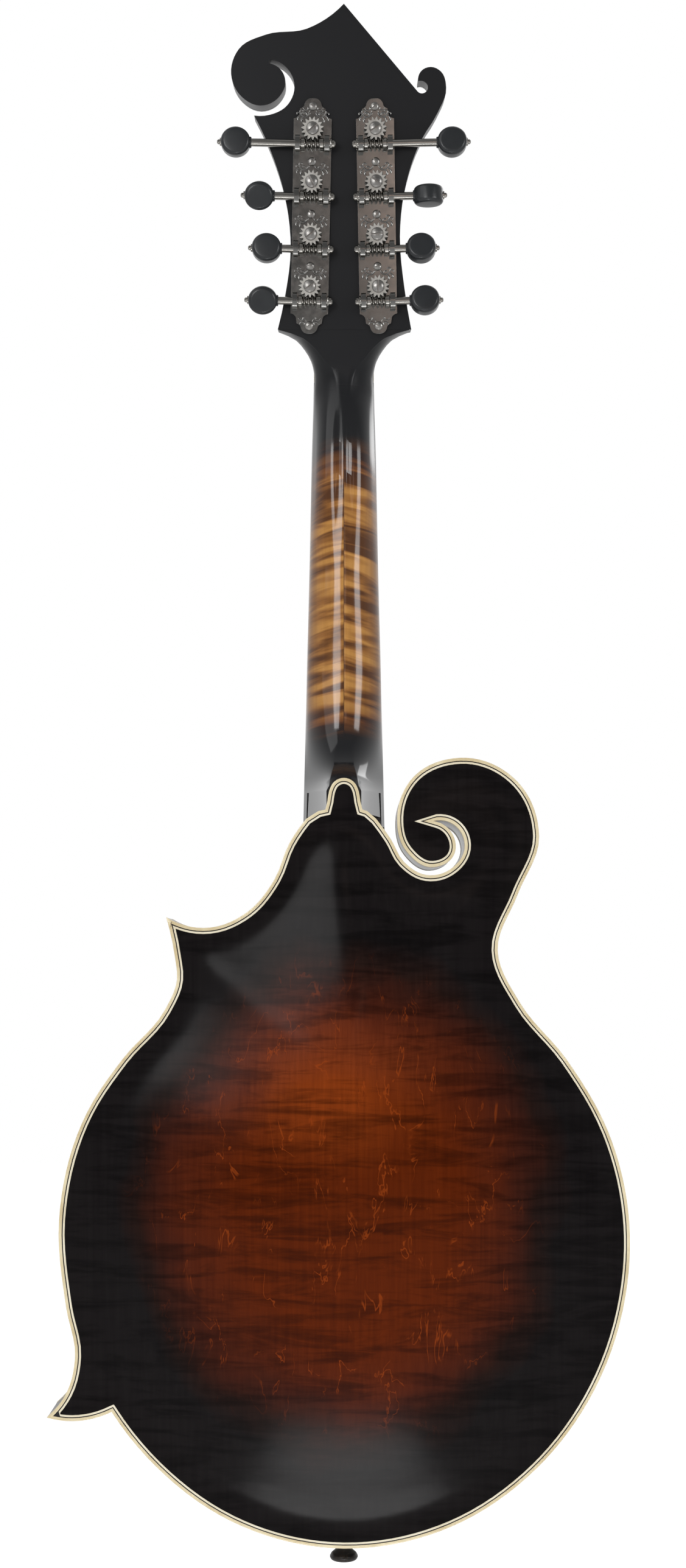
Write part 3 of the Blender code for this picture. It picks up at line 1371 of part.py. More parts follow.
def add_tuners(head_frame):
    """Add both sets of four tuners: plate, posts with gears, worm shafts and buttons."""
    plate = tuner_plate_mesh()
    post = post_mesh()
    button = button_mesh()
    shafts = [worm_shaft_mesh(reach) for reach in SHAFT_REACHES]
    back = HEAD_THICKNESS + GAP
    axis = back + PLATE_THICKNESS + SHAFT_HEIGHT
    sides = ((1, "bass", BASS_BUTTON_TURNS), (-1, "treble", TREBLE_BUTTON_TURNS))
    for side, hand, turns in sides:
        tilt = Matrix.Rotation(math.radians(PLATE_TILT) * side, 4, "Z")
        place = Matrix.Translation((side * PLATE_OFFSET, PLATE_CENTRE, back)) @ tilt
        add_piece(f"tuner_plate_{hand}", plate, "nickel", head_frame, place)
        for i, along in enumerate(post_steps()):
            number = i + 1
            raised = place @ Matrix.Translation((0, along, axis - back))
            add_piece(f"post_gear_{hand}_{number}", post, "nickel", head_frame, raised)
            outwards = Matrix(((0, 0, side), (1, 0, 0), (0, side, 0))).to_4x4()
            line = raised @ Matrix.Translation((0, -SHAFT_DISTANCE, 0)) @ outwards
            add_piece(f"worm_shaft_{hand}_{number}", shafts[i], "nickel", head_frame, line)
            roll = Matrix.Rotation(math.radians(turns[i] * side), 4, "Z")
            grip = line @ roll @ Matrix.Translation((0, 0, SHAFT_REACHES[i]))
            grip = grip @ Matrix(((0, 1, 0), (0, 0, 1), (1, 0, 0))).to_4x4()
            add_piece(f"tuner_button_{hand}_{number}", button, "black_button", head_frame, grip)


def winding(centre, start, side, radius, low, step):
    """Return points round a post from where a string meets it, winding away from the head."""
    points = []
    count = round(WINDING_TURNS * WINDING_POINTS)
    for i in range(count + 1):
        angle = start - side * math.tau * i / WINDING_POINTS
        spot = centre + Vector((math.cos(angle), math.sin(angle))) * radius
        points.append(Vector((*spot, low - step * i / WINDING_POINTS)))
    return points


def least_gap(points, diameter):
    """Return the least gap between a string's turns, measured on points close along it."""
    fine = [start.lerp(end, k / 8) for start, end in zip(points, points[1:]) for k in range(8)]
    spots = np.array([tuple(point) for point in fine])
    along = np.concatenate(([0], np.cumsum(np.linalg.norm(np.diff(spots, axis=0), axis=1))))
    apart = np.abs(along[:, None] - along) > TURN_APART
    distances = np.linalg.norm(spots[:, None] - spots, axis=2)
    return distances[apart].min() - diameter


def string_points(row, index):
    """Return a string's route in the world, from its hook over saddle and nut to its post."""
    radius = row["diameter"] / 2
    seat, crown = saddle_point()
    hook = strap_frame() @ Vector((row["hook"], STRAP_LENGTH + 0.001, -STRAP_THICKNESS))
    hook.z -= GAP + radius
    saddle = Vector((row["saddle"], seat, -crown - GAP - radius))
    nut_height = nut_slot_height() + GAP + radius
    nut_foot = NECK_FRAME @ Vector((row["nut"], 0.0002, -nut_height))
    nut_head = NECK_FRAME @ Vector((row["nut"], NUT_LENGTH - 0.0002, -nut_height))
    side = -1 if index < 4 else 1
    machine = index if index < 4 else 7 - index
    post = post_places(side)[machine]
    ring = POST_WAIST_RADIUS + GAP + radius
    leave = HEAD_FRAME.inverted() @ nut_head
    reach = post - leave.xy
    swing = math.asin(ring / reach.length)
    heading = math.atan2(reach.y, reach.x) + side * swing
    start = heading + side * math.pi / 2
    low = -GAP - OVERLAY_THICKNESS - WINDING_START - radius
    step = row["diameter"] + WINDING_SPACE
    coil = winding(post, start, side, ring, low, step)
    gap = least_gap([leave, *coil], row["diameter"])
    print(f"{row['name']}: its windings' least gap is {gap * 1000:.2f} mm")
    route = [BODY_FRAME @ hook, BODY_FRAME @ saddle, nut_foot, nut_head]
    return route + [HEAD_FRAME @ point for point in coil]


def add_strings():
    """Add the eight strings, each an unbroken tube from hook to post."""
    for index, row in enumerate(string_table()):
        curve = bpy.data.curves.new(row["name"], "CURVE")
        curve.dimensions = "3D"
        curve.bevel_depth = row["diameter"] / 2
        curve.bevel_resolution = 0
        curve.use_fill_caps = True
        points = string_points(row, index)
        spline = curve.splines.new("POLY")
        spline.points.add(len(points) - 1)
        for knot, place in zip(spline.points, points):
            knot.co = (*place, 1)
        string = bpy.data.objects.new(row["name"], curve)
        curve.materials.append(finish_material("bronze" if row["diameter"] > 0.0005 else "steel"))
        bpy.data.collections["mandolin"].objects.link(string)


def build():
    """Build the whole instrument."""
    clear_scene()
    body = add_frame("body_frame", BODY_FRAME)
    neck_frame = add_frame("neck_frame", NECK_FRAME)
    head_frame = add_frame("head_frame", HEAD_FRAME)
    edge, back_edge = body_loops()
    rim = add_body_shell(body, edge, back_edge)
    add_top(body, edge)
    add_blocks(body, edge, rim)
    add_tone_bars(body, edge)
    add_neck(neck_frame, head_frame, body)
    add_truss_rod(neck_frame)
    add_overlay(head_frame)
    add_fingerboard(neck_frame)
    add_nut(neck_frame)
    add_bridge(body, edge)
    add_tailpiece(body)
    add_end_pin(body)
    add_tuners(head_frame)
    add_strings()
    bpy.context.view_layer.update()


build()
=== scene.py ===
# %% [markdown]
# # An f-style mandolin, dressed for its portrait
# The imported solids hold the mandolin's real sizes and its moving bodies.
# This lesson leaves them where they are, and builds the fine pieces and the finishes around them.
# Each new piece but the strings' straight lengths rides on the body that carries it, so it follows when a
# tuner or the bridge moves.

# %% Load the frame
import math

import bmesh
import bpy
import numpy as np
from mathutils import Matrix, Vector
from mathutils.geometry import interpolate_bezier


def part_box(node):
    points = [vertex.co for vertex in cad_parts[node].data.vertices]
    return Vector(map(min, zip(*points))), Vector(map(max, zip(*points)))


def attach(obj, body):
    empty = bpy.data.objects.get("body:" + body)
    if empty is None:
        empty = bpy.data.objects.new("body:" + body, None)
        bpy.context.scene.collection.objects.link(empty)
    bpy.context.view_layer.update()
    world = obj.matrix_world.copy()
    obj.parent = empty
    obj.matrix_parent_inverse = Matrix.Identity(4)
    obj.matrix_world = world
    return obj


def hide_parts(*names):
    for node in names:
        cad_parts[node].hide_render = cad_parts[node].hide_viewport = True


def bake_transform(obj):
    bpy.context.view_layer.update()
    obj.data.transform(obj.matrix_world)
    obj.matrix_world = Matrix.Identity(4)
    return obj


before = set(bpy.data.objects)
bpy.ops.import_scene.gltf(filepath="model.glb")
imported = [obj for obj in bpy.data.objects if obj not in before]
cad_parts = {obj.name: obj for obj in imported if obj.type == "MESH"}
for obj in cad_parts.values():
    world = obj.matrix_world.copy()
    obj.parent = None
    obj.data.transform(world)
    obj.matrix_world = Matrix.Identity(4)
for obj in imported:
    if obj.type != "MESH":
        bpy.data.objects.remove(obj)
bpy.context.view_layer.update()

# %% [markdown]
# ## The camera
# A product photographer hangs the instrument and stands well back, with the camera level at the upper bout.
# A level camera keeps the edges upright, and a small shift moves the frame up without tilting it.

# %% Set up the camera
CAMERA_PLACE = (-0.0004, -1.097, -0.274)
CAMERA_LENS = 53.8
CAMERA_SHIFT = 0.117

scene = bpy.context.scene


def put(name, data):
    """Put new data in the scene as an object and return the object."""
    obj = bpy.data.objects.new(name, data)
    scene.collection.objects.link(obj)
    return obj


camera = put("camera", bpy.data.cameras.new("camera"))
camera.data.lens = CAMERA_LENS
camera.data.shift_y = CAMERA_SHIFT
camera.location = CAMERA_PLACE
camera.rotation_euler = (math.pi / 2, 0, 0)
scene.camera = camera
scene.view_settings.view_transform = "Standard"
print("camera stands", round(-CAMERA_PLACE[1], 3), "m behind the instrument")

# %% [markdown]
# ## The studio
# The photograph has a white backdrop and soft light, so the sky is plain white where the camera sees it.
# Polished lacquer mirrors the room behind the camera, which is dim, and the bright backdrop at its edges.
# A sky that is dimmer on the camera's side gives that look without painting any light on the wood.

# %% Make the sky
AMBIENT = 0.58
MIRRORED_ROOM = 0.20
MIRRORED_BACKDROP = 0.95
# A mirrored ray meets the dim room up to the first y of its direction, and the full backdrop from the second
ROOM_EDGE = -0.6
BACKDROP_EDGE = 0.8

world = bpy.data.worlds.new("studio")
scene.world = world
world.use_nodes = True
sky = world.node_tree
sky.nodes.clear()


def sky_node(kind, **values):
    """Add a node to the sky and set its sockets by name."""
    node = sky.nodes.new(kind)
    for name, value in values.items():
        node.inputs[name.replace("_", " ")].default_value = value
    return node


place = sky_node("ShaderNodeTexCoord")
parts = sky_node("ShaderNodeSeparateXYZ")
room = sky_node(
    "ShaderNodeMapRange", From_Min=ROOM_EDGE, From_Max=BACKDROP_EDGE,
    To_Min=MIRRORED_ROOM, To_Max=MIRRORED_BACKDROP,
)
rays = sky_node("ShaderNodeLightPath")
soft = sky_node("ShaderNodeBackground", Strength=AMBIENT)
glossy = sky_node("ShaderNodeBackground")
white = sky_node("ShaderNodeBackground", Strength=1.0)
for background in (soft, glossy, white):
    background.inputs["Color"].default_value = (1, 1, 1, 1)
glossy_mix = sky_node("ShaderNodeMixShader")
camera_mix = sky_node("ShaderNodeMixShader")
output = sky_node("ShaderNodeOutputWorld")
seen = sky_node("ShaderNodeMath")
seen.operation = "MAXIMUM"
sky.links.new(place.outputs["Generated"], parts.inputs[0])
sky.links.new(parts.outputs["Y"], room.inputs["Value"])
sky.links.new(room.outputs["Result"], glossy.inputs["Strength"])
sky.links.new(rays.outputs["Is Glossy Ray"], glossy_mix.inputs["Fac"])
sky.links.new(soft.outputs[0], glossy_mix.inputs[1])
sky.links.new(glossy.outputs[0], glossy_mix.inputs[2])
sky.links.new(rays.outputs["Is Camera Ray"], seen.inputs[0])
sky.links.new(rays.outputs["Is Transmission Ray"], seen.inputs[1])
sky.links.new(seen.outputs[0], camera_mix.inputs["Fac"])
sky.links.new(glossy_mix.outputs[0], camera_mix.inputs[1])
sky.links.new(white.outputs[0], camera_mix.inputs[2])
sky.links.new(camera_mix.outputs[0], output.inputs["Surface"])
print("sky lights the instrument at", AMBIENT)

# %% [markdown]
# ## The lamps
# One broad soft box, high behind the camera on its left, shapes the arching, and a fill lights the front.
# Two boxes at the head's height, left and right of the camera, are the long streaks on the round neck.
# A low box near the floor is the soft patch that the lower bout mirrors,
# and a small warm card is what tints the right tuner plate.

# %% Hang the lamps
def add_lamp(name, place, aim, width, height, radiance, color=(1, 1, 1)):
    """Add a rectangular lamp that faces a point and shines with a given radiance."""
    data = bpy.data.lights.new(name, "AREA")
    data.shape = "RECTANGLE"
    data.size = width
    data.size_y = height
    data.energy = radiance * math.pi * width * height
    data.color = color
    lamp = put(name, data)
    lamp.location = place
    lamp.rotation_euler = (Vector(aim) - Vector(place)).to_track_quat("-Z", "Y").to_euler()


MIDDLE = (0, -0.03, -0.25)
NECK_MIDDLE = (0, 0, -0.09)
STREAK_WIDTH = 0.40
STREAK_HEIGHT = 0.36
STREAK_RADIANCE = 5.2

add_lamp("soft_box", (-1.9, -2.0, 1.3), MIDDLE, 2.4, 2.4, 0.9)
add_lamp("front_fill", (1.9, 2.0, 1.2), MIDDLE, 1.3, 1.3, 2.2)
for name, place in (("left_streak", (-0.44, -1.12, 0.07)), ("right_streak", (0.86, -0.92, 0.07))):
    add_lamp(name, place, NECK_MIDDLE, STREAK_WIDTH, STREAK_HEIGHT, STREAK_RADIANCE)
add_lamp("low_box", (0.0, -0.483, -0.773), (0, -0.063, -0.453), 0.25, 0.072, 9.5)
add_lamp("warm_card", (0.11, -1.60, 0.03), (0, 0, 0.07), 0.14, 0.26, 1.2, (1.0, 0.74, 0.62))

# %% [markdown]
# ## The floor
# The instrument hangs free, so the floor lies well below it and only catches a soft shadow.
# Its white comes from a little glow that the camera alone sees, and never from more light on the wood.

# %% Lay the floor
FLOOR_HEIGHT = -0.95
FLOOR_REACH = 7.0
FLOOR_COLOR = (0.86, 0.86, 0.86, 1)
FLOOR_ROUGHNESS = 0.9
FLOOR_GLOW = 0.56

floor_mesh = bpy.data.meshes.new("floor")
corners = [(x * FLOOR_REACH, y * FLOOR_REACH, 0) for x, y in ((-1, -1), (1, -1), (1, 1), (-1, 1))]
floor_mesh.from_pydata(corners, [], [(0, 1, 2, 3)])
floor = put("floor", floor_mesh)
floor.location.z = FLOOR_HEIGHT

floor_paint = bpy.data.materials.new("pale_floor")
floor_paint.use_nodes = True
paint = floor_paint.node_tree
shader = paint.nodes["Principled BSDF"]
shader.inputs["Base Color"].default_value = FLOOR_COLOR
shader.inputs["Roughness"].default_value = FLOOR_ROUGHNESS
shader.inputs["Specular IOR Level"].default_value = 0.0
shader.inputs["Emission Color"].default_value = (1, 1, 1, 1)
rays = paint.nodes.new("ShaderNodeLightPath")
glow = paint.nodes.new("ShaderNodeMath")
glow.operation = "MULTIPLY"
glow.inputs[1].default_value = FLOOR_GLOW
paint.links.new(rays.outputs["Is Camera Ray"], glow.inputs[0])
paint.links.new(glow.outputs[0], shader.inputs["Emission Strength"])
floor_mesh.materials.append(floor_paint)
print("floor lies at", FLOOR_HEIGHT)

# %% [markdown]
# ## Working frames
# A maker measures the body from its tail, the neck from the nut, and the head from the nut too,
# each along its own line, because neck and head both lean back. Three frames keep those measures:
# in each, x runs across, y runs up, and z runs towards the back.

# %% Find the three frames
NECK_ANGLE = 3.0
HEAD_ANGLE = 7.0
NUT_LENGTH = 0.005
SCALE_LENGTH = 0.352
JOIN_FRET = 15

top_low, top_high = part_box("top_binding")
back_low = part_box("back_binding")[0]
RIM_PLANE = top_high.y
BODY_DEPTH = top_high.y - back_low.y
TAIL_HEIGHT = top_low.z


def at(x, y, z):
    """Return a move to a spot."""
    return Matrix.Translation((x, y, z))


def turn_by(degrees, axis="Z"):
    """Return a turn about an axis."""
    return Matrix.Rotation(math.radians(degrees), 4, axis)


def lean(spot, degrees):
    """Return a frame at a spot, its y up along a piece that leans back by an angle."""
    return at(*spot) @ turn_by(90 + degrees, "X")


def along_neck(fret):
    """Return a fret's distance from the nut."""
    return SCALE_LENGTH * (1 - 2 ** (-fret / 12))


BODY_FRAME = lean((0, RIM_PLANE, TAIL_HEIGHT), 0)
NECK_FRAME = lean((0, 0, 0), NECK_ANGLE)
HEAD_FRAME = lean(NECK_FRAME @ Vector((0, NUT_LENGTH, 0)), NECK_ANGLE + HEAD_ANGLE)
NECK_JOIN = along_neck(JOIN_FRET)
BODY_LENGTH = -NECK_JOIN * math.cos(math.radians(NECK_ANGLE)) - TAIL_HEIGHT
print("body", round(BODY_LENGTH * 1000, 1), "mm long,", round(BODY_DEPTH * 1000, 1), "mm deep")

# %% [markdown]
# ## Outlines
# The body's edge is drawn as a maker draws a template: a few points on a flowing line, and corners.
# Between two points a curve with matched handles stays round, so few points carry the whole scroll.

# %% Draw smooth outlines through knots
CURVE_ERROR = 0.00003
STRAIGHT_TURN = 0.01


def smooth_loop(knots, error=CURVE_ERROR):
    """Return points round a closed smooth curve through knots, some of which are corners."""
    places = [Vector(knot[:2]) for knot in knots]
    count = len(places)

    def direction(i):
        if len(knots[i]) > 2:
            return None
        before = places[i] - places[i - 1]
        after = places[(i + 1) % count] - places[i]
        return (before / before.length_squared + after / after.length_squared).normalized()

    loop = []
    for i, start in enumerate(places):
        end = places[(i + 1) % count]
        chord = (end - start).normalized()
        leave = direction(i)
        arrive = direction((i + 1) % count)
        if leave is None and arrive is None:
            loop.append(start)
            continue
        leave = leave or 2 * chord.dot(arrive) * chord - arrive
        arrive = arrive or 2 * chord.dot(leave) * chord - leave
        turn = leave.angle(chord, 0) + chord.angle(arrive, 0)
        reach = (end - start).length / 3
        if turn > STRAIGHT_TURN:
            reach *= 2 * math.tan(turn / 4) / math.sin(turn / 2)
        steps = max(1, round(math.sqrt((end - start).length * turn / (8 * error))))
        handles = (start + leave * reach, end - arrive * reach)
        loop += interpolate_bezier(start, *handles, end, steps + 1)[:-1]
    return [Vector(point[:2]) for point in loop]


def edge_distances(points, loop):
    """Return each point's distance to a closed loop."""
    points = np.array([tuple(p[:2]) for p in points])
    starts = np.array([tuple(p[:2]) for p in loop])
    spans = np.roll(starts, -1, axis=0) - starts
    lengths = (spans**2).sum(axis=1)
    nearest = np.full(len(points), np.inf)
    for start, span, length in zip(starts, spans, lengths):
        share = np.clip(((points - start) @ span) / length, 0, 1)
        gap = points - start - share[:, None] * span
        nearest = np.minimum(nearest, (gap**2).sum(axis=1))
    return np.sqrt(nearest)


SHARPEST_CORNER = 0.12
KEPT_SHARE = 0.985


def inset(loop, distance):
    """Move an anticlockwise loop inwards, and drop the stretches that fold over in its tips."""
    count = len(loop)
    moved = []
    for i in range(count):
        before = (loop[i] - loop[i - 1]).normalized()
        after = (loop[(i + 1) % count] - loop[i]).normalized()
        bisector = (before + after).orthogonal()
        length = bisector.length_squared / 2
        moved.append(loop[i] + bisector * (distance / max(length, SHARPEST_CORNER)))
    distances = edge_distances(moved, loop)
    return [point for point, far in zip(moved, distances) if far > abs(distance) * KEPT_SHARE]


# %% Draw the body's edge
BODY_KNOTS = (
    (-0.0170, 0.3270, "corner"),
    (-0.0245, 0.3160),
    (-0.0311, 0.3000),
    (-0.0430, 0.2855),
    (-0.0600, 0.2783),
    (-0.0797, 0.2830, "corner"),
    (-0.0758, 0.2655),
    (-0.0748, 0.2550),
    (-0.0803, 0.2413),
    (-0.0991, 0.2195),
    (-0.1150, 0.1957),
    (-0.1277, 0.1470),
    (-0.1245, 0.1080),
    (-0.1205, 0.0860),
    (-0.1245, 0.0695),
    (-0.1332, 0.0587, "corner"),
    (-0.1185, 0.0572),
    (-0.1041, 0.0612, "corner"),
    (-0.0840, 0.0365),
    (-0.0505, 0.0122),
    (0.0000, 0.0000),
    (0.0480, 0.0097),
    (0.0860, 0.0355),
    (0.1125, 0.0715),
    (0.1262, 0.1130),
    (0.1280, 0.1450),
    (0.1185, 0.1867),
    (0.0996, 0.2195),
    (0.0790, 0.2445),
    (0.0689, 0.2681),
    (0.0778, 0.2929),
    (0.0875, 0.3190),
    (0.0780, 0.3435),
    (0.0521, 0.3544),
    (0.0300, 0.3445),
    (0.0239, 0.3281),
    (0.0280, 0.3126),
    (0.0400, 0.3054),
    (0.0494, 0.3110),
    (0.0488, 0.3200),
    (0.0400, 0.3260, "corner"),
    (0.0483, 0.3251),
    (0.0542, 0.3155),
    (0.0475, 0.3043),
    (0.0370, 0.3019),
    (0.0269, 0.3078),
    (0.0210, 0.3180),
    (0.0145, 0.3270, "corner"),
    (0.0105, 0.3305, "corner"),
    (-0.0115, 0.3305, "corner"),
)
# The back's edge goes on round the button that caps the heel
BUTTON_KNOTS = (
    (0.0083, 0.3312, "corner"),
    (0.0074, 0.3348),
    (0.0067, 0.3392),
    (0.0042, 0.3438),
    (0.0000, 0.3454),
    (-0.0042, 0.3438),
    (-0.0067, 0.3392),
    (-0.0074, 0.3348),
    (-0.0083, 0.3312, "corner"),
)

edge = smooth_loop(BODY_KNOTS)
back_edge = smooth_loop(BODY_KNOTS[:-1] + BUTTON_KNOTS + BODY_KNOTS[-1:])
print("body's edge has", len(edge), "points, the back's edge", len(back_edge))

# %% [markdown]
# ## Tools that shape a mesh
# Four simple ways of working cover nearly every piece: a flat outline sawn from a board (a filled curve),
# a skin over a row of sections (a loft), a turned profile (a spin), and a tube along a path, which is
# a bevelled curve. Each returns a plain mesh, so the pieces can be cut, joined and finished alike.

# %% Write the shaping tools
WELD_DISTANCE = 1e-6
FINE_WELD_DISTANCE = 1e-7


def take_mesh(obj, name):
    """Return an object's evaluated mesh and remove the object."""
    bpy.context.view_layer.update()
    mesh = bpy.data.meshes.new_from_object(obj.evaluated_get(bpy.context.evaluated_depsgraph_get()))
    mesh.name = name
    bpy.data.objects.remove(obj)
    return mesh


def closed_mesh(name, bm):
    """Weld a bmesh, turn its faces outwards and return it as a mesh."""
    bmesh.ops.remove_doubles(bm, verts=bm.verts[:], dist=WELD_DISTANCE)
    bmesh.ops.recalc_face_normals(bm, faces=bm.faces[:])
    mesh = bpy.data.meshes.new(name)
    bm.to_mesh(mesh)
    bm.free()
    return mesh


def drawn(curve):
    """Return a bmesh of a curve's filled or bevelled form."""
    mesh = take_mesh(put("drawing", curve), "drawing")
    bm = bmesh.new()
    bm.from_mesh(mesh)
    bpy.data.meshes.remove(mesh)
    return bm


def filled_outline(loops):
    """Return a bmesh of a flat outline, with holes for the further loops."""
    curve = bpy.data.curves.new("outline", "CURVE")
    curve.dimensions = "2D"
    curve.fill_mode = "BOTH"
    for loop in loops:
        spline = curve.splines.new("POLY")
        spline.points.add(len(loop) - 1)
        for knot, spot in zip(spline.points, loop):
            knot.co = (spot[0], spot[1], 0, 1)
        spline.use_cyclic_u = True
    bm = drawn(curve)
    bmesh.ops.remove_doubles(bm, verts=bm.verts[:], dist=FINE_WELD_DISTANCE)
    return bm


def slab(name, loops, low, high):
    """Return the mesh of a flat outline, with holes for the further loops, from low to high."""
    bm = filled_outline(loops)
    bmesh.ops.translate(bm, verts=bm.verts[:], vec=(0, 0, low))
    raised = bmesh.ops.extrude_face_region(bm, geom=bm.faces[:])["geom"]
    raised = [item for item in raised if isinstance(item, bmesh.types.BMVert)]
    bmesh.ops.translate(bm, verts=raised, vec=(0, 0, high - low))
    return closed_mesh(name, bm)


def loft(name, sections):
    """Return the mesh that skins a row of sections with equal counts of points."""
    bm = bmesh.new()
    rings = [[bm.verts.new(point) for point in section] for section in sections]
    for ring, following in zip(rings, rings[1:]):
        for i in range(len(ring)):
            j = (i + 1) % len(ring)
            bm.faces.new((ring[i], ring[j], following[j], following[i]))
    bm.faces.new(rings[0][::-1])
    bm.faces.new(rings[-1])
    return closed_mesh(name, bm)


def turned(name, profile, facets):
    """Return the mesh of a profile of (radius, z), top to bottom, turned about z."""
    bm = bmesh.new()
    verts = [bm.verts.new((radius, 0, z)) for radius, z in profile]
    edges = [bm.edges.new(pair) for pair in zip(verts, verts[1:])]
    bmesh.ops.spin(bm, geom=verts + edges, axis=(0, 0, 1), angle=math.tau, steps=facets)
    return closed_mesh(name, bm)


def tube(name, points, radius, sides, radii=None, cyclic=False):
    """Return the mesh of a round tube along points, its thickness scaled by radii."""
    curve = bpy.data.curves.new(name, "CURVE")
    curve.dimensions = "3D"
    curve.bevel_depth = radius
    curve.bevel_resolution = sides
    curve.use_fill_caps = True
    spline = curve.splines.new("POLY")
    spline.points.add(len(points) - 1)
    for i, spot in enumerate(points):
        spline.points[i].co = (*spot, 1)
        if radii:
            spline.points[i].radius = radii[i]
    spline.use_cyclic_u = cyclic
    return closed_mesh(name, drawn(curve))


def box(name, low, high):
    """Return the mesh of a box between two corners."""
    bm = bmesh.new()
    bmesh.ops.create_cube(bm, size=1)
    low = Vector(low)
    high = Vector(high)
    bmesh.ops.scale(bm, verts=bm.verts[:], vec=high - low)
    bmesh.ops.translate(bm, verts=bm.verts[:], vec=(low + high) / 2)
    return closed_mesh(name, bm)


def joined(name, meshes):
    """Return one mesh of several shapes, each given as a mesh or as (mesh, matrix)."""
    bm = bmesh.new()
    for item in meshes:
        mesh, matrix = item if isinstance(item, tuple) else (item, Matrix())
        copy = mesh.copy()
        copy.transform(matrix)
        bm.from_mesh(copy)
        bpy.data.meshes.remove(copy)
    mesh = bpy.data.meshes.new(name)
    bm.to_mesh(mesh)
    bm.free()
    return mesh


def cut(mesh, tools, operation="DIFFERENCE"):
    """Return a mesh after cutting it with other meshes, or joining them to it."""
    blank = put(mesh.name, mesh)
    helpers = []
    for tool in tools:
        helper = put("tool", tool)
        helpers.append(helper)
        modifier = blank.modifiers.new("cut", "BOOLEAN")
        modifier.operation = operation
        modifier.object = helper
        modifier.solver = "EXACT"
    result = take_mesh(blank, mesh.name)
    for helper in helpers:
        bpy.data.objects.remove(helper)
    return result


def ease_edges(obj, width, segments, angle):
    """Give an object's sharp edges a small round."""
    bevel = obj.modifiers.new("ease", "BEVEL")
    bevel.width = width
    bevel.segments = segments
    bevel.limit_method = "ANGLE"
    bevel.angle_limit = math.radians(angle)


def eased(mesh, width, segments=2, angle=35):
    """Return a mesh whose sharp edges are eased by a small round."""
    blank = put(mesh.name, mesh)
    ease_edges(blank, width, segments, angle)
    return take_mesh(blank, mesh.name)


# %% [markdown]
# ## Putting a piece in its place
# A piece is made in the frame of the part that it belongs to, then moved into the world once.
# It is then told which body carries it, which finish it has, and which plain solid it stands for.

# %% Place a piece
WORLD = Matrix()
SOLID_EDGE_ANGLE = 40


def add_piece(name, mesh, paint, body="frame", where=WORLD, stands_for="", sharp=32, flat=False):
    """Add a finished piece: its mesh, material, the body it rides on and the solid it replaces."""
    mesh = mesh.copy()
    mesh.transform(where)
    mesh.materials.clear()
    mesh.materials.append(paint)
    mesh.shade_smooth()
    mesh.set_sharp_from_angle(angle=math.radians(sharp))
    mesh.name = name
    piece = put(name, mesh)
    if flat:
        level = piece.modifiers.new("level", "WEIGHTED_NORMAL")
        level.keep_sharp = True
    if body:
        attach(piece, body)
    if stands_for:
        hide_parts(stands_for)
    return piece


def dress(paint, *names, ease_width=0.0):
    """Give solids that stay as they are a finish, and ease their edges where asked."""
    for name in names:
        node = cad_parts[name]
        node.data.materials.clear()
        node.data.materials.append(paint)
        if ease_width:
            ease_edges(node, ease_width, 2, SOLID_EDGE_ANGLE)


# %% [markdown]
# ## Finishes
# A finish is a small node tree that reads the point's own place on the piece. Wood needs most of it:
# grain and flame are noise stretched along one direction, and a sunburst is a colour chosen by distance.
# The helper below keeps each finish short: it adds a node, sets its sockets and links what it is given.

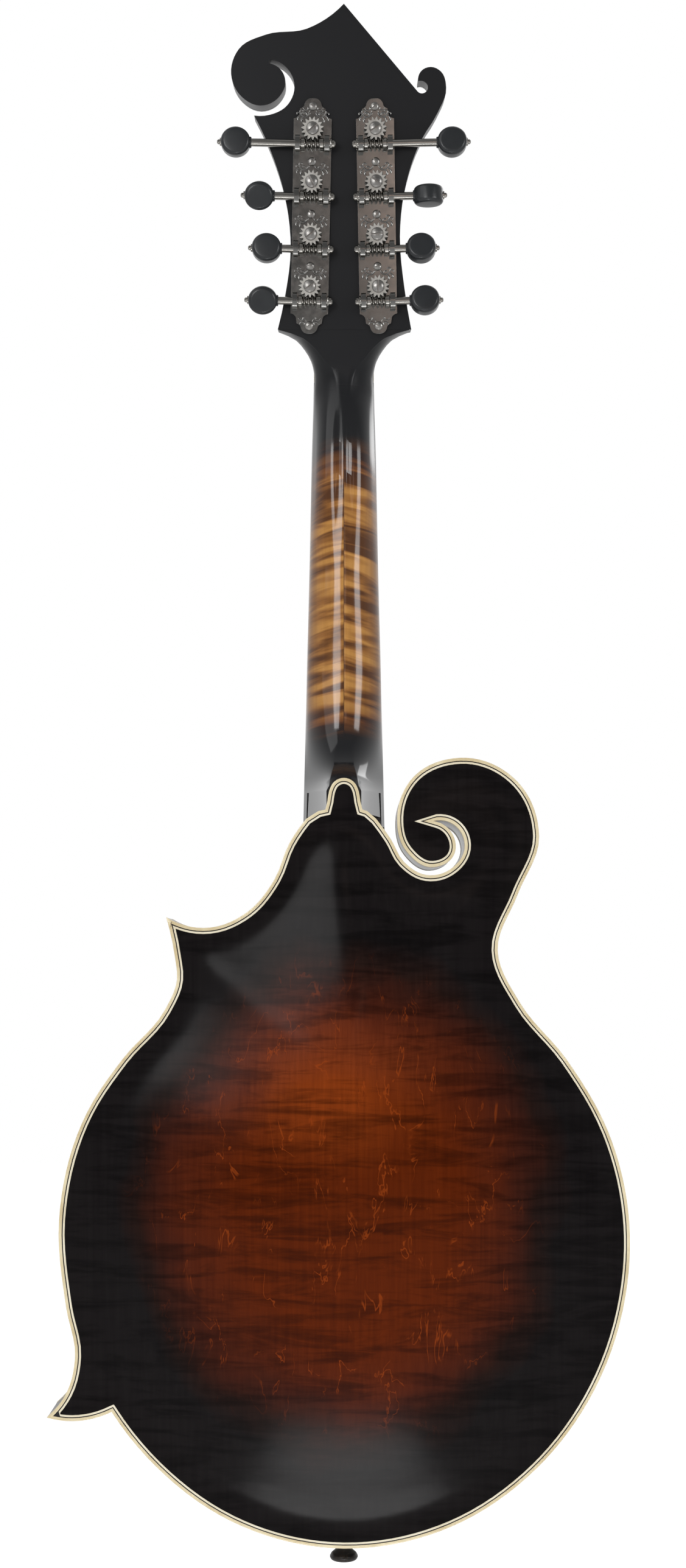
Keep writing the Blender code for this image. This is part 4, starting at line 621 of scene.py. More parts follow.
# %% Write the finish helper
class Finish:
    """A material under construction."""

    def __init__(self, name, slot, roughness=0.3, metallic=0.0, specular=0.5):
        self.material = bpy.data.materials.new(name)
        self.material.use_nodes = True
        self.tree = self.material.node_tree
        self.shader = self.tree.nodes["Principled BSDF"]
        self.shader.inputs["Roughness"].default_value = roughness
        self.shader.inputs["Metallic"].default_value = metallic
        self.shader.inputs["Specular IOR Level"].default_value = specular
        self.place = self.tree.nodes.new("ShaderNodeTexCoord").outputs["Object"]

    def node(self, kind, settings=(), **sockets):
        """Add a node, with settings as attributes and sockets as values or links."""
        node = self.tree.nodes.new(kind)
        for key, value in dict(settings).items():
            setattr(node, key, value)
        for key, value in sockets.items():
            socket = node.inputs[int(key[1:])] if key[0] == "_" else node.inputs[key.replace("_", " ")]
            if isinstance(value, bpy.types.NodeSocket):
                self.tree.links.new(value, socket)
            else:
                socket.default_value = value
        return node

    def scaled(self, scale, shift):
        """Return the place on the piece, shifted and stretched."""
        node = self.node("ShaderNodeMapping", _0=self.place, Scale=scale, Location=shift)
        return node.outputs[0]

    def noise(self, scale, detail, roughness=0.5, distortion=0.0, shift=(0, 0, 0)):
        """Return noise from 0 to 1, with its own stretch along each axis."""
        node = self.node(
            "ShaderNodeTexNoise", Vector=self.scaled(scale, shift), Scale=1.0,
            Detail=detail, Roughness=roughness, Distortion=distortion,
        )
        return node.outputs[0]

    def ramp(self, value, *stops):
        """Return a colour picked along a row of (position, colour)."""
        node = self.node("ShaderNodeValToRGB", Fac=value)
        elements = node.color_ramp.elements
        while len(elements) < len(stops):
            elements.new(0.5)
        for element, (position, color) in zip(elements, stops):
            element.position = position
            element.color = (*color, 1)
        return node.outputs[0]

    def grey(self, value, low, high, out_low=0.0, out_high=1.0, smooth=True):
        """Return a value mapped from one range to another."""
        kind = "SMOOTHSTEP" if smooth else "LINEAR"
        node = self.node(
            "ShaderNodeMapRange", {"interpolation_type": kind}, _0=value,
            _1=low, _2=high, _3=out_low, _4=out_high,
        )
        return node.outputs[0]

    def math(self, operation, first, second=0.0):
        """Return the sum, product or other function of two values."""
        return self.node("ShaderNodeMath", {"operation": operation}, _0=first, _1=second).outputs[0]

    def mix(self, share, first, second, blend="MIX"):
        """Return a blend of two colours."""
        node = self.tree.nodes.new("ShaderNodeMix")
        node.data_type = "RGBA"
        node.blend_type = blend
        for index, value in ((0, share), (6, first), (7, second)):
            if isinstance(value, bpy.types.NodeSocket):
                self.tree.links.new(value, node.inputs[index])
            elif index:
                node.inputs[index].default_value = (*value, 1)
            else:
                node.inputs[index].default_value = value
        return node.outputs[2]

    def color(self, socket):
        """Link the finished colour to the shader."""
        self.tree.links.new(socket, self.shader.inputs["Base Color"])

    def roughness(self, socket):
        """Link a varying roughness to the shader."""
        self.tree.links.new(socket, self.shader.inputs["Roughness"])

    def bump(self, height, strength, distance):
        """Link a height to the shader as bump."""
        node = self.node("ShaderNodeBump", Height=height, Strength=strength, Distance=distance)
        self.tree.links.new(node.outputs[0], self.shader.inputs["Normal"])


# %% [markdown]
# ## Flamed maple under a sunburst
# The back is a maple board whose fibres ripple, so bands across the grain take the stain lightly and darkly.
# The maker sprays a dark edge over an orange and brown middle, then many clear coats.
# Here one noise, long across the body and short up it, makes the bands, and the distance from the middle
# of the burst chooses the stain. A second, small burst brightens a patch above the middle, where less stain
# was sprayed, and the thin ridges of one more noise are the pale flecks.

# %% Mix the back's finish
BURST_CENTRE = (0.001, -0.381)
BURST_HALF_WIDTH = 0.099
BURST_HALF_HEIGHT = 0.120
BURST_WANDER = 0.16
BRIGHT_CENTRE = (-0.008, -0.325)
BRIGHT_HALF_WIDTH = 0.062
BRIGHT_HALF_HEIGHT = 0.046
BRIGHT_WANDER = 0.3
BRIGHT_GAIN = (2.1, 2.5, 3.2)
FLECK_COLOR = (0.30, 0.050, 0.006)
LACQUER_ROUGHNESS = 0.18
LACQUER_SPECULAR = 0.08


def burst_distance(finish, centre, half_width, half_height, wander):
    """Return how far a point lies from the burst's middle, 1 at its dark edge."""
    shift = (-centre[0] / half_width, 0, -centre[1] / half_height)
    spread = finish.node(
        "ShaderNodeMapping", _0=finish.place, Location=shift,
        Scale=(1 / half_width, 0, 1 / half_height),
    )
    length = finish.node("ShaderNodeVectorMath", {"operation": "LENGTH"}, _0=spread.outputs[0])
    cloud = finish.noise((18, 18, 18), detail=3.0, roughness=0.6)
    return finish.math("ADD", length.outputs["Value"], finish.grey(cloud, 0, 1, -wander, wander, False))


def back_finish():
    """Return the back's sunburst over flamed maple."""
    finish = Finish("sunburst_back", "back_lacquer", LACQUER_ROUGHNESS, 0.0, LACQUER_SPECULAR)
    far = burst_distance(finish, BURST_CENTRE, BURST_HALF_WIDTH, BURST_HALF_HEIGHT, BURST_WANDER)
    stain = finish.ramp(
        far,
        (0.00, (0.100, 0.0140, 0.0012)),
        (0.48, (0.100, 0.0140, 0.0014)),
        (0.72, (0.074, 0.0125, 0.0038)),
        (0.90, (0.017, 0.0072, 0.0055)),
        (1.00, (0.0088, 0.0074, 0.0078)),
    )
    bands = finish.noise((21, 21, 150), detail=5.0, roughness=0.60, distortion=0.8)
    fine = finish.noise((60, 60, 420), detail=2.0, roughness=0.6, shift=(3, 0, 1))
    wide = finish.grey(bands, 0.36, 0.60, 0.50, 1.06)
    flame = finish.math("ADD", wide, finish.grey(fine, 0.3, 0.7, -0.11, 0.11))
    shade = finish.ramp(flame, (0, (0.10, 0.10, 0.10)), (1, (1.0, 1.0, 1.0)))
    tone = finish.mix(1.0, stain, shade, "MULTIPLY")
    fibres = finish.noise((520, 520, 10), detail=3.0, roughness=0.6, shift=(6, 2, 1))
    streaks = finish.ramp(fibres, (0.3, (0.82, 0.80, 0.80)), (0.7, (1.12, 1.14, 1.10)))
    tone = finish.mix(1.0, tone, streaks, "MULTIPLY")
    bright = burst_distance(finish, BRIGHT_CENTRE, BRIGHT_HALF_WIDTH, BRIGHT_HALF_HEIGHT, BRIGHT_WANDER)
    gained = finish.mix(1.0, tone, BRIGHT_GAIN, "MULTIPLY")
    warm = finish.mix(finish.grey(bright, 0.1, 1.0, 1.0, 0.0), tone, gained)
    flecks = finish.noise((64, 64, 24), detail=4.0, roughness=0.60, distortion=0.7, shift=(2, 5, 3))
    ridge = finish.math("ABSOLUTE", finish.math("SUBTRACT", flecks, 0.5))
    thin = finish.grey(ridge, 0.0, 0.012, 1.0, 0.0)
    patch = finish.grey(finish.noise((95, 95, 60), detail=2.0, shift=(9, 4, 6)), 0.47, 0.60)
    lit = finish.grey(far, 0.60, 0.98, 0.62, 0.0)
    share = finish.math("MULTIPLY", finish.math("MULTIPLY", thin, patch), lit)
    finish.color(finish.mix(share, warm, FLECK_COLOR))
    finish.bump(finish.noise((220, 220, 220), detail=1.0), 0.04, 0.0004)
    return finish.material


sunburst_back = back_finish()
print("finish:", sunburst_back.name)

# %% [markdown]
# ## The carved back
# The back starts as a flat board sawn to its outline, and is carved: a shallow channel just inside the edge,
# then a long arch to the middle. A grid laid over the outline gives the carving enough points,
# and a rule for the height at each point, from its distance to the edge, does the carving.
# The outer face rises more gently than the inner one, so the plate is thinnest just inside its edge.

# %% Carve the back
BINDING_WIDTH = 0.0027
SEAM = 0.00008
PLATE_EDGE = 0.005
PLATE_MIDDLE = 0.0036
BACK_ARCH = 0.0145
TOP_ARCH = 0.0155
RECURVE_DEPTH = 0.0008
ARCH_RUN = 0.028
BACK_RUN = 0.045
DOME_HALF_WIDTH = 0.132
DOME_CENTRE = 0.162
DOME_BELOW = 0.170
DOME_ABOVE = 0.205
CARVING_GRID = 0.0025
CARVING_PASSES = 8
DOME_ROUNDNESS = 0.7
EDGE_ROUNDNESS = 1.5
RECURVE_SHARE = 0.6
BOARD_THICKNESS = 0.001
FLAT_ANGLE = 0.01
THINNING_START = 0.010
THINNING_RUN = 0.025


def arching(point, distance, height, edge_run=ARCH_RUN):
    """Return how far a plate's surface rises above its edge at a point, less its recurve."""
    run = DOME_ABOVE if point[1] > DOME_CENTRE else DOME_BELOW
    spread = math.hypot(point[0] / DOME_HALF_WIDTH, (point[1] - DOME_CENTRE) / run)
    dome = math.cos(min(spread, 1) * math.pi / 2) ** DOME_ROUNDNESS
    return height * dome * (1 - math.exp(-((distance / edge_run) ** EDGE_ROUNDNESS)))


def recurve(distance):
    """Return the depth of the shallow channel that runs just inside a plate's edge."""
    share = min(distance / (ARCH_RUN * RECURVE_SHARE), 1)
    return RECURVE_DEPTH * math.sin(math.pi * share) ** 2


def ease(value):
    """Return a soft step from 0 to 1."""
    value = min(max(value, 0), 1)
    return value * value * (3 - 2 * value)


def sawn_board(line, saws):
    """Return a bmesh of a flat outline from which the saws have cut their holes."""
    board = cut(slab("board", [line], 0, BOARD_THICKNESS), saws)
    bm = bmesh.new()
    bm.from_mesh(board)
    bm.normal_update()
    away = [face for face in bm.faces if face.normal.z < 0.5]
    bmesh.ops.delete(bm, geom=away, context="FACES")
    bmesh.ops.translate(bm, verts=bm.verts[:], vec=(0, 0, -BOARD_THICKNESS))
    return bm


def carved_plate(name, line, height, edge_plane, outwards, saws=(), edge_run=ARCH_RUN):
    """Return a carved plate: a sawn board cut into a grid, arched and given its thickness."""
    bm = sawn_board(line, saws)
    inside = [item for item in bm.edges if not item.is_boundary]
    bmesh.ops.dissolve_limit(bm, angle_limit=FLAT_ANGLE, verts=bm.verts[:], edges=inside)
    for axis in (0, 1):
        low = min(point[axis] for point in line)
        high = max(point[axis] for point in line)
        cuts = round((high - low) / CARVING_GRID)
        normal = Vector((axis == 0, axis == 1, 0))
        for i in range(1, cuts):
            spot = normal * (low + (high - low) * i / cuts)
            geometry = bm.verts[:] + bm.edges[:] + bm.faces[:]
            bmesh.ops.bisect_plane(bm, geom=geometry, plane_co=spot, plane_no=normal, dist=WELD_DISTANCE)
    rim_verts = [vert for vert in bm.verts if vert.is_boundary]
    inner = [vert for vert in bm.verts if not vert.is_boundary]
    close = bmesh.ops.find_doubles(bm, verts=inner, keep_verts=rim_verts, dist=CARVING_GRID * 0.3)
    bmesh.ops.weld_verts(bm, targetmap=close["targetmap"])
    under = bmesh.ops.extrude_face_region(bm, geom=bm.faces[:])["geom"]
    under = {item for item in under if isinstance(item, bmesh.types.BMVert)}
    distances = edge_distances([vert.co for vert in bm.verts], line)
    for vert, distance in zip(bm.verts, distances):
        if vert in under:
            rise = arching(vert.co, distance, height)
            thin = ease((distance - THINNING_START) / THINNING_RUN)
            rise -= PLATE_EDGE + (PLATE_MIDDLE - PLATE_EDGE) * thin
        else:
            rise = arching(vert.co, distance, height, edge_run) - recurve(distance)
        vert.co.z = edge_plane + outwards * rise
    free = [vert for vert, far in zip(bm.verts, distances) if far > CARVING_GRID * 0.5]
    for _ in range(CARVING_PASSES):
        bmesh.ops.smooth_vert(
            bm, verts=free, factor=0.5, use_axis_x=False, use_axis_y=False, use_axis_z=True
        )
    return closed_mesh(name, bm)


back_line = inset(back_edge, BINDING_WIDTH + SEAM)
back_mesh = carved_plate("back", back_line, BACK_ARCH, BODY_DEPTH, 1, edge_run=BACK_RUN)
add_piece("carved_back", back_mesh, sunburst_back, where=BODY_FRAME, stands_for="back_plate", sharp=50)
print("carved back has", len(back_mesh.polygons), "faces")

# %% [markdown]
# ## Ivoroid, black line and white line
# The edge is bound with three strips of cellulose, bent warm round the scroll and glued in a rebate.
# Old ivoroid is cream with a fine grain that runs along the strip and yellows where the lacquer is thick.
# The two thin strips inside it are plain, so a slight mottling is all that they need.

# %% Mix the plastics
def plastic_finish(name, slot, light, dark, roughness, grain):
    """Return a plastic that wanders between two tones, with a fine grain."""
    finish = Finish(name, slot, roughness)
    cloud = finish.noise((60, 60, 60), detail=3.0)
    fine = finish.noise(grain, detail=2.0, shift=(4, 4, 4))
    tone = finish.math("ADD", finish.math("MULTIPLY", cloud, 0.7), finish.math("MULTIPLY", fine, 0.3))
    finish.color(finish.ramp(tone, (0.36, dark), (0.62, light)))
    finish.bump(fine, 0.03, 0.0002)
    return finish.material


ivoroid = plastic_finish(
    "old_ivoroid", "ivoroid", (0.80, 0.70, 0.47), (0.66, 0.54, 0.32), 0.22, (260, 260, 260)
)
black_strip = plastic_finish(
    "black_strip", "ivoroid", (0.012, 0.010, 0.009), (0.006, 0.005, 0.005), 0.25, (300, 300, 300)
)
white_strip = plastic_finish(
    "white_strip", "ivoroid", (0.86, 0.80, 0.64), (0.74, 0.66, 0.48), 0.22, (300, 300, 300)
)
print("plastics:", ivoroid.name, black_strip.name, white_strip.name)

# %% Bind the two edges
CREAM_WIDTH = 0.0014
BLACK_WIDTH = 0.00045
BINDING_EASE = 0.00035


def add_binding(name, loop, low, high, node):
    """Add one edge's three strips: cream outside, then a black line and a white line."""
    depths = (0, CREAM_WIDTH, CREAM_WIDTH + BLACK_WIDTH, BINDING_WIDTH)
    rings = [inset(loop, depth) if depth else loop for depth in depths]
    for i, (strip, paint) in enumerate(
        (("cream", ivoroid), ("black_line", black_strip), ("white_line", white_strip))
    ):
        mesh = slab(f"{name}_{strip}", rings[i : i + 2], low, high)
        if strip == "cream":
            mesh = eased(mesh, BINDING_EASE)
        add_piece(f"{name}_{strip}", mesh, paint, where=BODY_FRAME, stands_for=node)


add_binding("back_binding", back_edge, BODY_DEPTH - PLATE_EDGE, BODY_DEPTH, "back_binding")
add_binding("top_binding", edge, 0, PLATE_EDGE, "top_binding")
print("bindings laid on", len(back_edge), "and", len(edge), "points")

# %% [markdown]
# ## The bent sides
# The sides are thin maple strips, wetted and bent on a hot iron, and sprayed nearly black.
# They stand just inside the bindings' outer faces, and the flame still shows a little through the stain.

# %% Bend the sides
RIM_WALL = 0.0023
RIM_INSET = 0.0001


def dark_finish():
    """Return the nearly black stain of the sides."""
    finish = Finish("dark_sides", "dark_lacquer", LACQUER_ROUGHNESS, 0.0, LACQUER_SPECULAR)
    bands = finish.noise((60, 260, 18), detail=3.0, distortion=0.5)
    finish.color(finish.ramp(bands, (0.35, (0.006, 0.0045, 0.004)), (0.70, (0.020, 0.0085, 0.0055))))
    return finish.material


dark_sides = dark_finish()
sides = slab("sides", [inset(edge, RIM_INSET), inset(edge, RIM_WALL)], PLATE_EDGE, BODY_DEPTH - PLATE_EDGE)
add_piece("bent_sides", sides, dark_sides, where=BODY_FRAME, stands_for="rim")
print("sides have", len(sides.polygons), "faces")

# %% [markdown]
# ## The carved top with its f-holes
# The top is split spruce, carved like the back, and its two f-holes are sawn before it is closed.
# Here the saws take a stem and two eyes out of the flat board, so the carving shapes their edges as well.
# The finish is spruce with even, straight grain, amber in the middle and dark at the edge.

# %% Mix the top's finish
TOP_BURST_CENTRE = (0.0, -0.375)
TOP_BURST_HALF_WIDTH = 0.112
TOP_BURST_HALF_HEIGHT = 0.150
TOP_BURST_WANDER = 0.08


def top_finish():
    """Return the top's sunburst over straight spruce grain."""
    finish = Finish("sunburst_top", "top_lacquer", LACQUER_ROUGHNESS, 0.0, LACQUER_SPECULAR)
    size = (TOP_BURST_HALF_WIDTH, TOP_BURST_HALF_HEIGHT)
    far = burst_distance(finish, TOP_BURST_CENTRE, *size, TOP_BURST_WANDER)
    stain = finish.ramp(
        far,
        (0.00, (0.62, 0.26, 0.045)),
        (0.45, (0.50, 0.17, 0.022)),
        (0.75, (0.14, 0.035, 0.008)),
        (0.98, (0.010, 0.005, 0.004)),
    )
    grain = finish.noise((640, 640, 7), detail=3.0, roughness=0.6)
    tone = finish.ramp(grain, (0.3, (0.72, 0.66, 0.58)), (0.62, (1.0, 1.0, 1.0)))
    finish.color(finish.mix(1.0, stain, tone, "MULTIPLY"))
    return finish.material


sunburst_top = top_finish()
print("finish:", sunburst_top.name)

# %% Saw the f-holes and carve the top
F_STEM = (
    (0.0480, 0.2230, 0.0012),
    (0.0535, 0.2290, 0.0016),
    (0.0590, 0.2190, 0.0020),
    (0.0610, 0.2000, 0.0026),
    (0.0625, 0.1820, 0.0029),
    (0.0645, 0.1630, 0.0026),
    (0.0685, 0.1450, 0.0020),
    (0.0745, 0.1375, 0.0016),
    (0.0790, 0.1440, 0.0012),
)
F_EYES = ((0.0478, 0.2190, 0.0042), (0.0785, 0.1480, 0.0052))
SAW_REACH = 0.01


def circle(x, y, radius, count):
    """Return points round a circle, anticlockwise."""
    turn = math.tau / count
    return [Vector((x + radius * math.cos(turn * i), y + radius * math.sin(turn * i))) for i in range(count)]


def f_stem(side):
    """Return the outline of an f-hole's stem on one side of the top."""
    centres = [Vector((side * x, y)) for x, y, _ in F_STEM]
    left = []
    right = []
    for i, centre in enumerate(centres):
        before = centres[max(i - 1, 0)]
        after = centres[min(i + 1, len(centres) - 1)]
        across = (after - before).orthogonal().normalized() * F_STEM[i][2]
        left.append(centre + across)
        right.append(centre - across)
    outline = left + right[::-1]
    ends = (0, len(left) - 1, len(left), len(outline) - 1)
    return smooth_loop([(*p, "corner") if i in ends else (*p,) for i, p in enumerate(outline)])


def f_hole_tools():
    """Return the saws for both f-holes: stems and eyes, long enough to pass through the top."""
    tools = []
    for side in (1, -1):
        tools.append(slab("stem", [f_stem(side)], -SAW_REACH, SAW_REACH))
        for x, y, radius in F_EYES:
            tools.append(slab("eye", [circle(side * x, y, radius, 48)], -SAW_REACH, SAW_REACH))
    return tools


top_line = inset(edge, BINDING_WIDTH + SEAM)
top_mesh = carved_plate("top", top_line, TOP_ARCH, 0, -1, f_hole_tools())
add_piece("carved_top", top_mesh, sunburst_top, where=BODY_FRAME, stands_for="top_plate", sharp=50)
print("carved top has", len(top_mesh.polygons), "faces")

# %% [markdown]
# ## Neck, heel and head
# The neck is one piece of flamed maple: a round shaft, a heel that narrows to the back's button,
# and a flat head. A few sections say all of it. Smooth curves through their points make the skin,
# the head is sawn to its scrolls, and both are joined, then bored for the eight posts.

# %% Mix the neck's finish
HEAD_BLACKENS = (-0.060, -0.026)
HEEL_BLACKENS = (-0.148, -0.174)
HEAD_DULLS = (-0.03, 0.01)
FLAME_SLANT = 0.22
HALVES_APART = 0.5
CENTRE_SEAM = (0.0001, 0.0003)


def neck_finish():
    """Return amber flamed maple that darkens to black towards the head and the heel."""
    finish = Finish("flamed_neck", "neck_lacquer", 0.2, 0.0, 0.42)
    parts = finish.node("ShaderNodeSeparateXYZ", _0=finish.place)
    height = parts.outputs["Z"]
    wander = finish.grey(finish.noise((14, 14, 14), detail=3.0), 0, 1, -0.010, 0.010, False)
    height = finish.math("ADD", height, wander)
    top_dark = finish.grey(height, *HEAD_BLACKENS)
    heel_dark = finish.grey(height, *HEEL_BLACKENS)
    # Towards the round neck's sides the wood darkens: partly the burst's dark edge, partly painted shade
    # where the back turns away from the light
    wide = finish.math("ADD", finish.math("MULTIPLY", parts.outputs["Z"], -0.025), 0.0140)
    side = finish.math("DIVIDE", finish.math("ABSOLUTE", parts.outputs["X"]), wide)
    side_burst_and_shade = finish.grey(side, 0.62, 1.02, 0.0, 0.55)
    away = finish.math("ABSOLUTE", parts.outputs["X"])
    half = finish.math("GREATER_THAN", parts.outputs["X"], 0.0)
    slant = finish.math("ADD", parts.outputs["Z"], finish.math("MULTIPLY", away, FLAME_SLANT))
    slant = finish.math("ADD", slant, finish.math("MULTIPLY", half, HALVES_APART))
    folded = finish.node("ShaderNodeCombineXYZ", X=away, Y=parts.outputs["Y"], Z=slant)
    stretched = finish.node("ShaderNodeMapping", _0=folded.outputs[0], Scale=(20, 20, 185))
    bands = finish.node(
        "ShaderNodeTexNoise", Vector=stretched.outputs[0], Scale=1.0,
        Detail=3.0, Roughness=0.5, Distortion=0.5,
    ).outputs[0]
    fibres = finish.noise((420, 420, 9), detail=3.0, roughness=0.6, shift=(1, 2, 3))
    flame = finish.ramp(
        bands,
        (0.38, (0.095, 0.034, 0.010)),
        (0.49, (0.300, 0.126, 0.030)),
        (0.60, (0.500, 0.245, 0.062)),
    )
    flame = finish.mix(finish.grey(away, *CENTRE_SEAM, 0.6, 0.0), flame, (0.05, 0.02, 0.008))
    streaks = finish.ramp(fibres, (0.3, (0.80, 0.74, 0.66)), (0.7, (1.08, 1.06, 1.02)))
    wood = finish.mix(0.55, flame, streaks, "MULTIPLY")
    # Dark brown at the sides: the burst's edge and painted shade
    wood = finish.mix(side_burst_and_shade, wood, (0.075, 0.024, 0.006))
    dark = finish.math("MAXIMUM", top_dark, heel_dark)
    amber_to_black = finish.ramp(
        dark,
        (0.00, (1.0, 1.0, 1.0)),
        (0.45, (0.42, 0.30, 0.22)),
        (1.00, (0.0, 0.0, 0.0)),
    )
    stained = finish.mix(1.0, wood, amber_to_black, "MULTIPLY")
    black = finish.mix(dark, (0.0, 0.0, 0.0), (0.0105, 0.0110, 0.0125))
    finish.color(finish.mix(1.0, stained, black, "ADD"))
    finish.roughness(finish.grey(parts.outputs["Z"], *HEAD_DULLS, 0.12, 0.34))
    polish = finish.grey(parts.outputs["Z"], *HEAD_DULLS, 0.60, 0.22)
    finish.tree.links.new(polish, finish.shader.inputs["Specular IOR Level"])
    finish.bump(fibres, 0.03, 0.0001)
    return finish.material


flamed_neck = neck_finish()
print("finish:", flamed_neck.name)

# %% Draw the neck's sections
OVERSTAND = 0.0167
FINGERBOARD_NUT_WIDTH = 0.0280
FINGERBOARD_JOIN_WIDTH = 0.0382
NECK_DEPTH_AT_NUT = 0.0148
NECK_DEPTH_AT_HEEL = 0.0174
HEEL_CAP_HALF_WIDTH = 0.0068
HEEL_CAP_LENGTH = 0.0130
HEEL_RUN = 0.040
NECK_TENON = 0.004
NECK_STEP = 0.0022
NECK_NARROW = 0.012
BACK_OVER_NUT = 0.0026
FLARE_START = 0.006
# Each row: distance from the heel's start, share of the full depth, how far the section is a heel's
HEEL_CURVE = (
    (-0.001, 1.000, 1.00),
    (0.002, 0.800, 0.95),
    (0.006, 0.580, 0.80),
    (0.013, 0.420, 0.50),
    (0.023, 0.325, 0.20),
)
HEAD_THICKNESS = 0.013
# Each row: height over the nut, half the width at the face, half the width at the back
HEAD_FLARE = (
    (0.0000, 0.0141, 0.0052),
    (0.0045, 0.0153, 0.0092),
    (0.0095, 0.0182, 0.0134),
    (0.0138, 0.0220, 0.0186),
    (0.0176, 0.0302, 0.0302),
)
FLARE_WALL = ((0, 0), (0.06, 0.30), (0.28, 0.58), (0.62, 0.83), (1, 1))
WALL_STEPS = 4
QUARTER_STEPS = 18
HEEL_HOLLOW = 1.3


def half_width(distance):
    """Return half the neck's width at a distance from the nut."""
    share = distance / NECK_JOIN
    return (FINGERBOARD_NUT_WIDTH + (FINGERBOARD_JOIN_WIDTH - FINGERBOARD_NUT_WIDTH) * share) / 2


def mirrored(half):
    """Return a section's points from its +x half, which ends on the centre line."""
    return half + [(-x, z) for x, z in half[-2::-1]]


def smooth_path(points, steps):
    """Return points on a smooth curve through an open row of points, steps to each span."""
    points = [Vector(point) for point in points]
    tangents = []
    for i in range(len(points)):
        before = points[i] - points[max(i - 1, 0)]
        after = points[min(i + 1, len(points) - 1)] - points[i]
        if not before.length:
            tangents.append(after.normalized())
        elif not after.length:
            tangents.append(before.normalized())
        else:
            tangents.append((before / before.length_squared + after / after.length_squared).normalized())
    path = []
    for i, (start, end) in enumerate(zip(points, points[1:])):
        count = steps if isinstance(steps, int) else steps[i]
        reach = (end - start).length / 3
        handles = (start + tangents[i] * reach, end - tangents[i + 1] * reach)
        path += interpolate_bezier(start, *handles, end, count + 1)[:-1]
    return [point.to_3d() for point in path] + [points[-1].to_3d()]


def smooth_sections(sections, step):
    """Return sections with further ones between them, each point on its own smooth curve."""
    middle = len(sections[0]) // 2
    spans = [(b[middle] - a[middle]).length for a, b in zip(sections, sections[1:])]
    counts = [max(1, math.ceil(span / step)) for span in spans]
    columns = [smooth_path(column, counts) for column in zip(*sections)]
    return [list(row) for row in zip(*columns)]


def neck_section(distance, depth, heel):
    """Return a section of the neck, which turns from a round back into the narrow heel."""
    wide = half_width(distance)
    half = []
    for k in range(QUARTER_STEPS + 1):
        angle = math.radians(90 / QUARTER_STEPS * k)
        deep = math.sin(angle)
        round_x = wide * math.cos(angle)
        heel_x = HEEL_CAP_HALF_WIDTH + (wide - HEEL_CAP_HALF_WIDTH) * (1 - deep) ** HEEL_HOLLOW
        if k == QUARTER_STEPS:
            heel_x = 0
        half.append((round_x + (heel_x - round_x) * heel, depth * deep))
    return [NECK_FRAME @ Vector((x, -distance, z)) for x, z in mirrored(half)]


def head_section(height, face_half, back_half, face=0.0, back=HEAD_THICKNESS):
    """Return a section of the flare between neck and head, flat across the back."""
    half = []
    for across, deep, _ in smooth_path(FLARE_WALL, WALL_STEPS):
        half.append((face_half + (back_half - face_half) * across, face + (back - face) * deep))
    half += [(back_half / 2, back), (0, back)]
    return [HEAD_FRAME @ Vector((x, height, z)) for x, z in mirrored(half)]


def neck_skin():
    """Return the mesh of the neck from its heel to the head's ears."""
    full = OVERSTAND + BODY_DEPTH + NECK_TENON
    start = NECK_JOIN - HEEL_CAP_LENGTH
    middle_depth = (NECK_DEPTH_AT_NUT + NECK_DEPTH_AT_HEEL) / 2
    sections = [neck_section(start - run, full * deep, heel) for run, deep, heel in HEEL_CURVE]
    sections.append(neck_section(start - HEEL_RUN, NECK_DEPTH_AT_HEEL, 0))
    sections.append(neck_section(NECK_JOIN * 0.45, middle_depth, 0))
    sections.append(neck_section(NECK_NARROW, NECK_DEPTH_AT_NUT, 0))
    below_nut = NUT_LENGTH + FLARE_START
    face = below_nut * math.tan(math.radians(HEAD_ANGLE))
    back = face + (NECK_DEPTH_AT_NUT + HEAD_THICKNESS) / 2
    sections.append(head_section(-below_nut, half_width(FLARE_START), BACK_OVER_NUT, face, back))
    sections += [head_section(*flare) for flare in HEAD_FLARE]
    smooth = smooth_sections(sections, NECK_STEP)
    height, face_half, back_half = HEAD_FLARE[-1]
    inside = 0.0004
    inner = (face_half - 0.002, back_half - 0.002, inside, HEAD_THICKNESS - inside)
    smooth.append(head_section(height + 0.0015, *inner))
    return loft("neck", [neck_section(NECK_JOIN + NECK_TENON, full, 1)] + smooth)


# %% Saw the head and join it to the neck
HEAD_KNOTS = (
    (0.0311, 0.0178, "corner"),
    (0.0279, 0.0360),
    (0.0257, 0.0590),
    (0.0275, 0.0780),
    (0.0352, 0.1013),
    (0.0425, 0.1130),
    (0.0464, 0.1240),
    (0.0440, 0.1310),
    (0.0393, 0.1330),
    (0.0348, 0.1310),
    (0.0336, 0.1268, "corner"),
    (0.0360, 0.1268),
    (0.0381, 0.1242),
    (0.0358, 0.1216),
    (0.0332, 0.1227, "corner"),
    (0.0000, 0.1601, "corner"),
    (-0.0168, 0.1494),
    (-0.0352, 0.1469),
    (-0.0476, 0.1406),
    (-0.0511, 0.1300),
    (-0.0465, 0.1202),
    (-0.0379, 0.1163),
    (-0.0290, 0.1205),
    (-0.0265, 0.1268),
    (-0.0340, 0.1345, "corner"),
    (-0.0338, 0.1362, "corner"),
    (-0.0265, 0.1332),
    (-0.0224, 0.1245),
    (-0.0254, 0.1168),
    (-0.0338, 0.1123),
    (-0.0408, 0.1120, "corner"),
    (-0.0335, 0.0970),
    (-0.0262, 0.0730),
    (-0.0244, 0.0540),
    (-0.0270, 0.0330),
    (-0.0305, 0.0178, "corner"),
)
PLATE_OFFSET = 0.0150
PLATE_CENTRE = 0.0675
PLATE_TILT = 1.2
LOWEST_POST = 0.0364
POST_SPACING = 0.023
POST_HOLE_RADIUS = 0.0034
RISER_DEPTH = 0.008
RISER_ENDS = ((NECK_JOIN - 0.012, RISER_DEPTH), (NECK_JOIN + 0.036, RISER_DEPTH / 2))
HEEL_BOX_START = BODY_LENGTH - 0.03


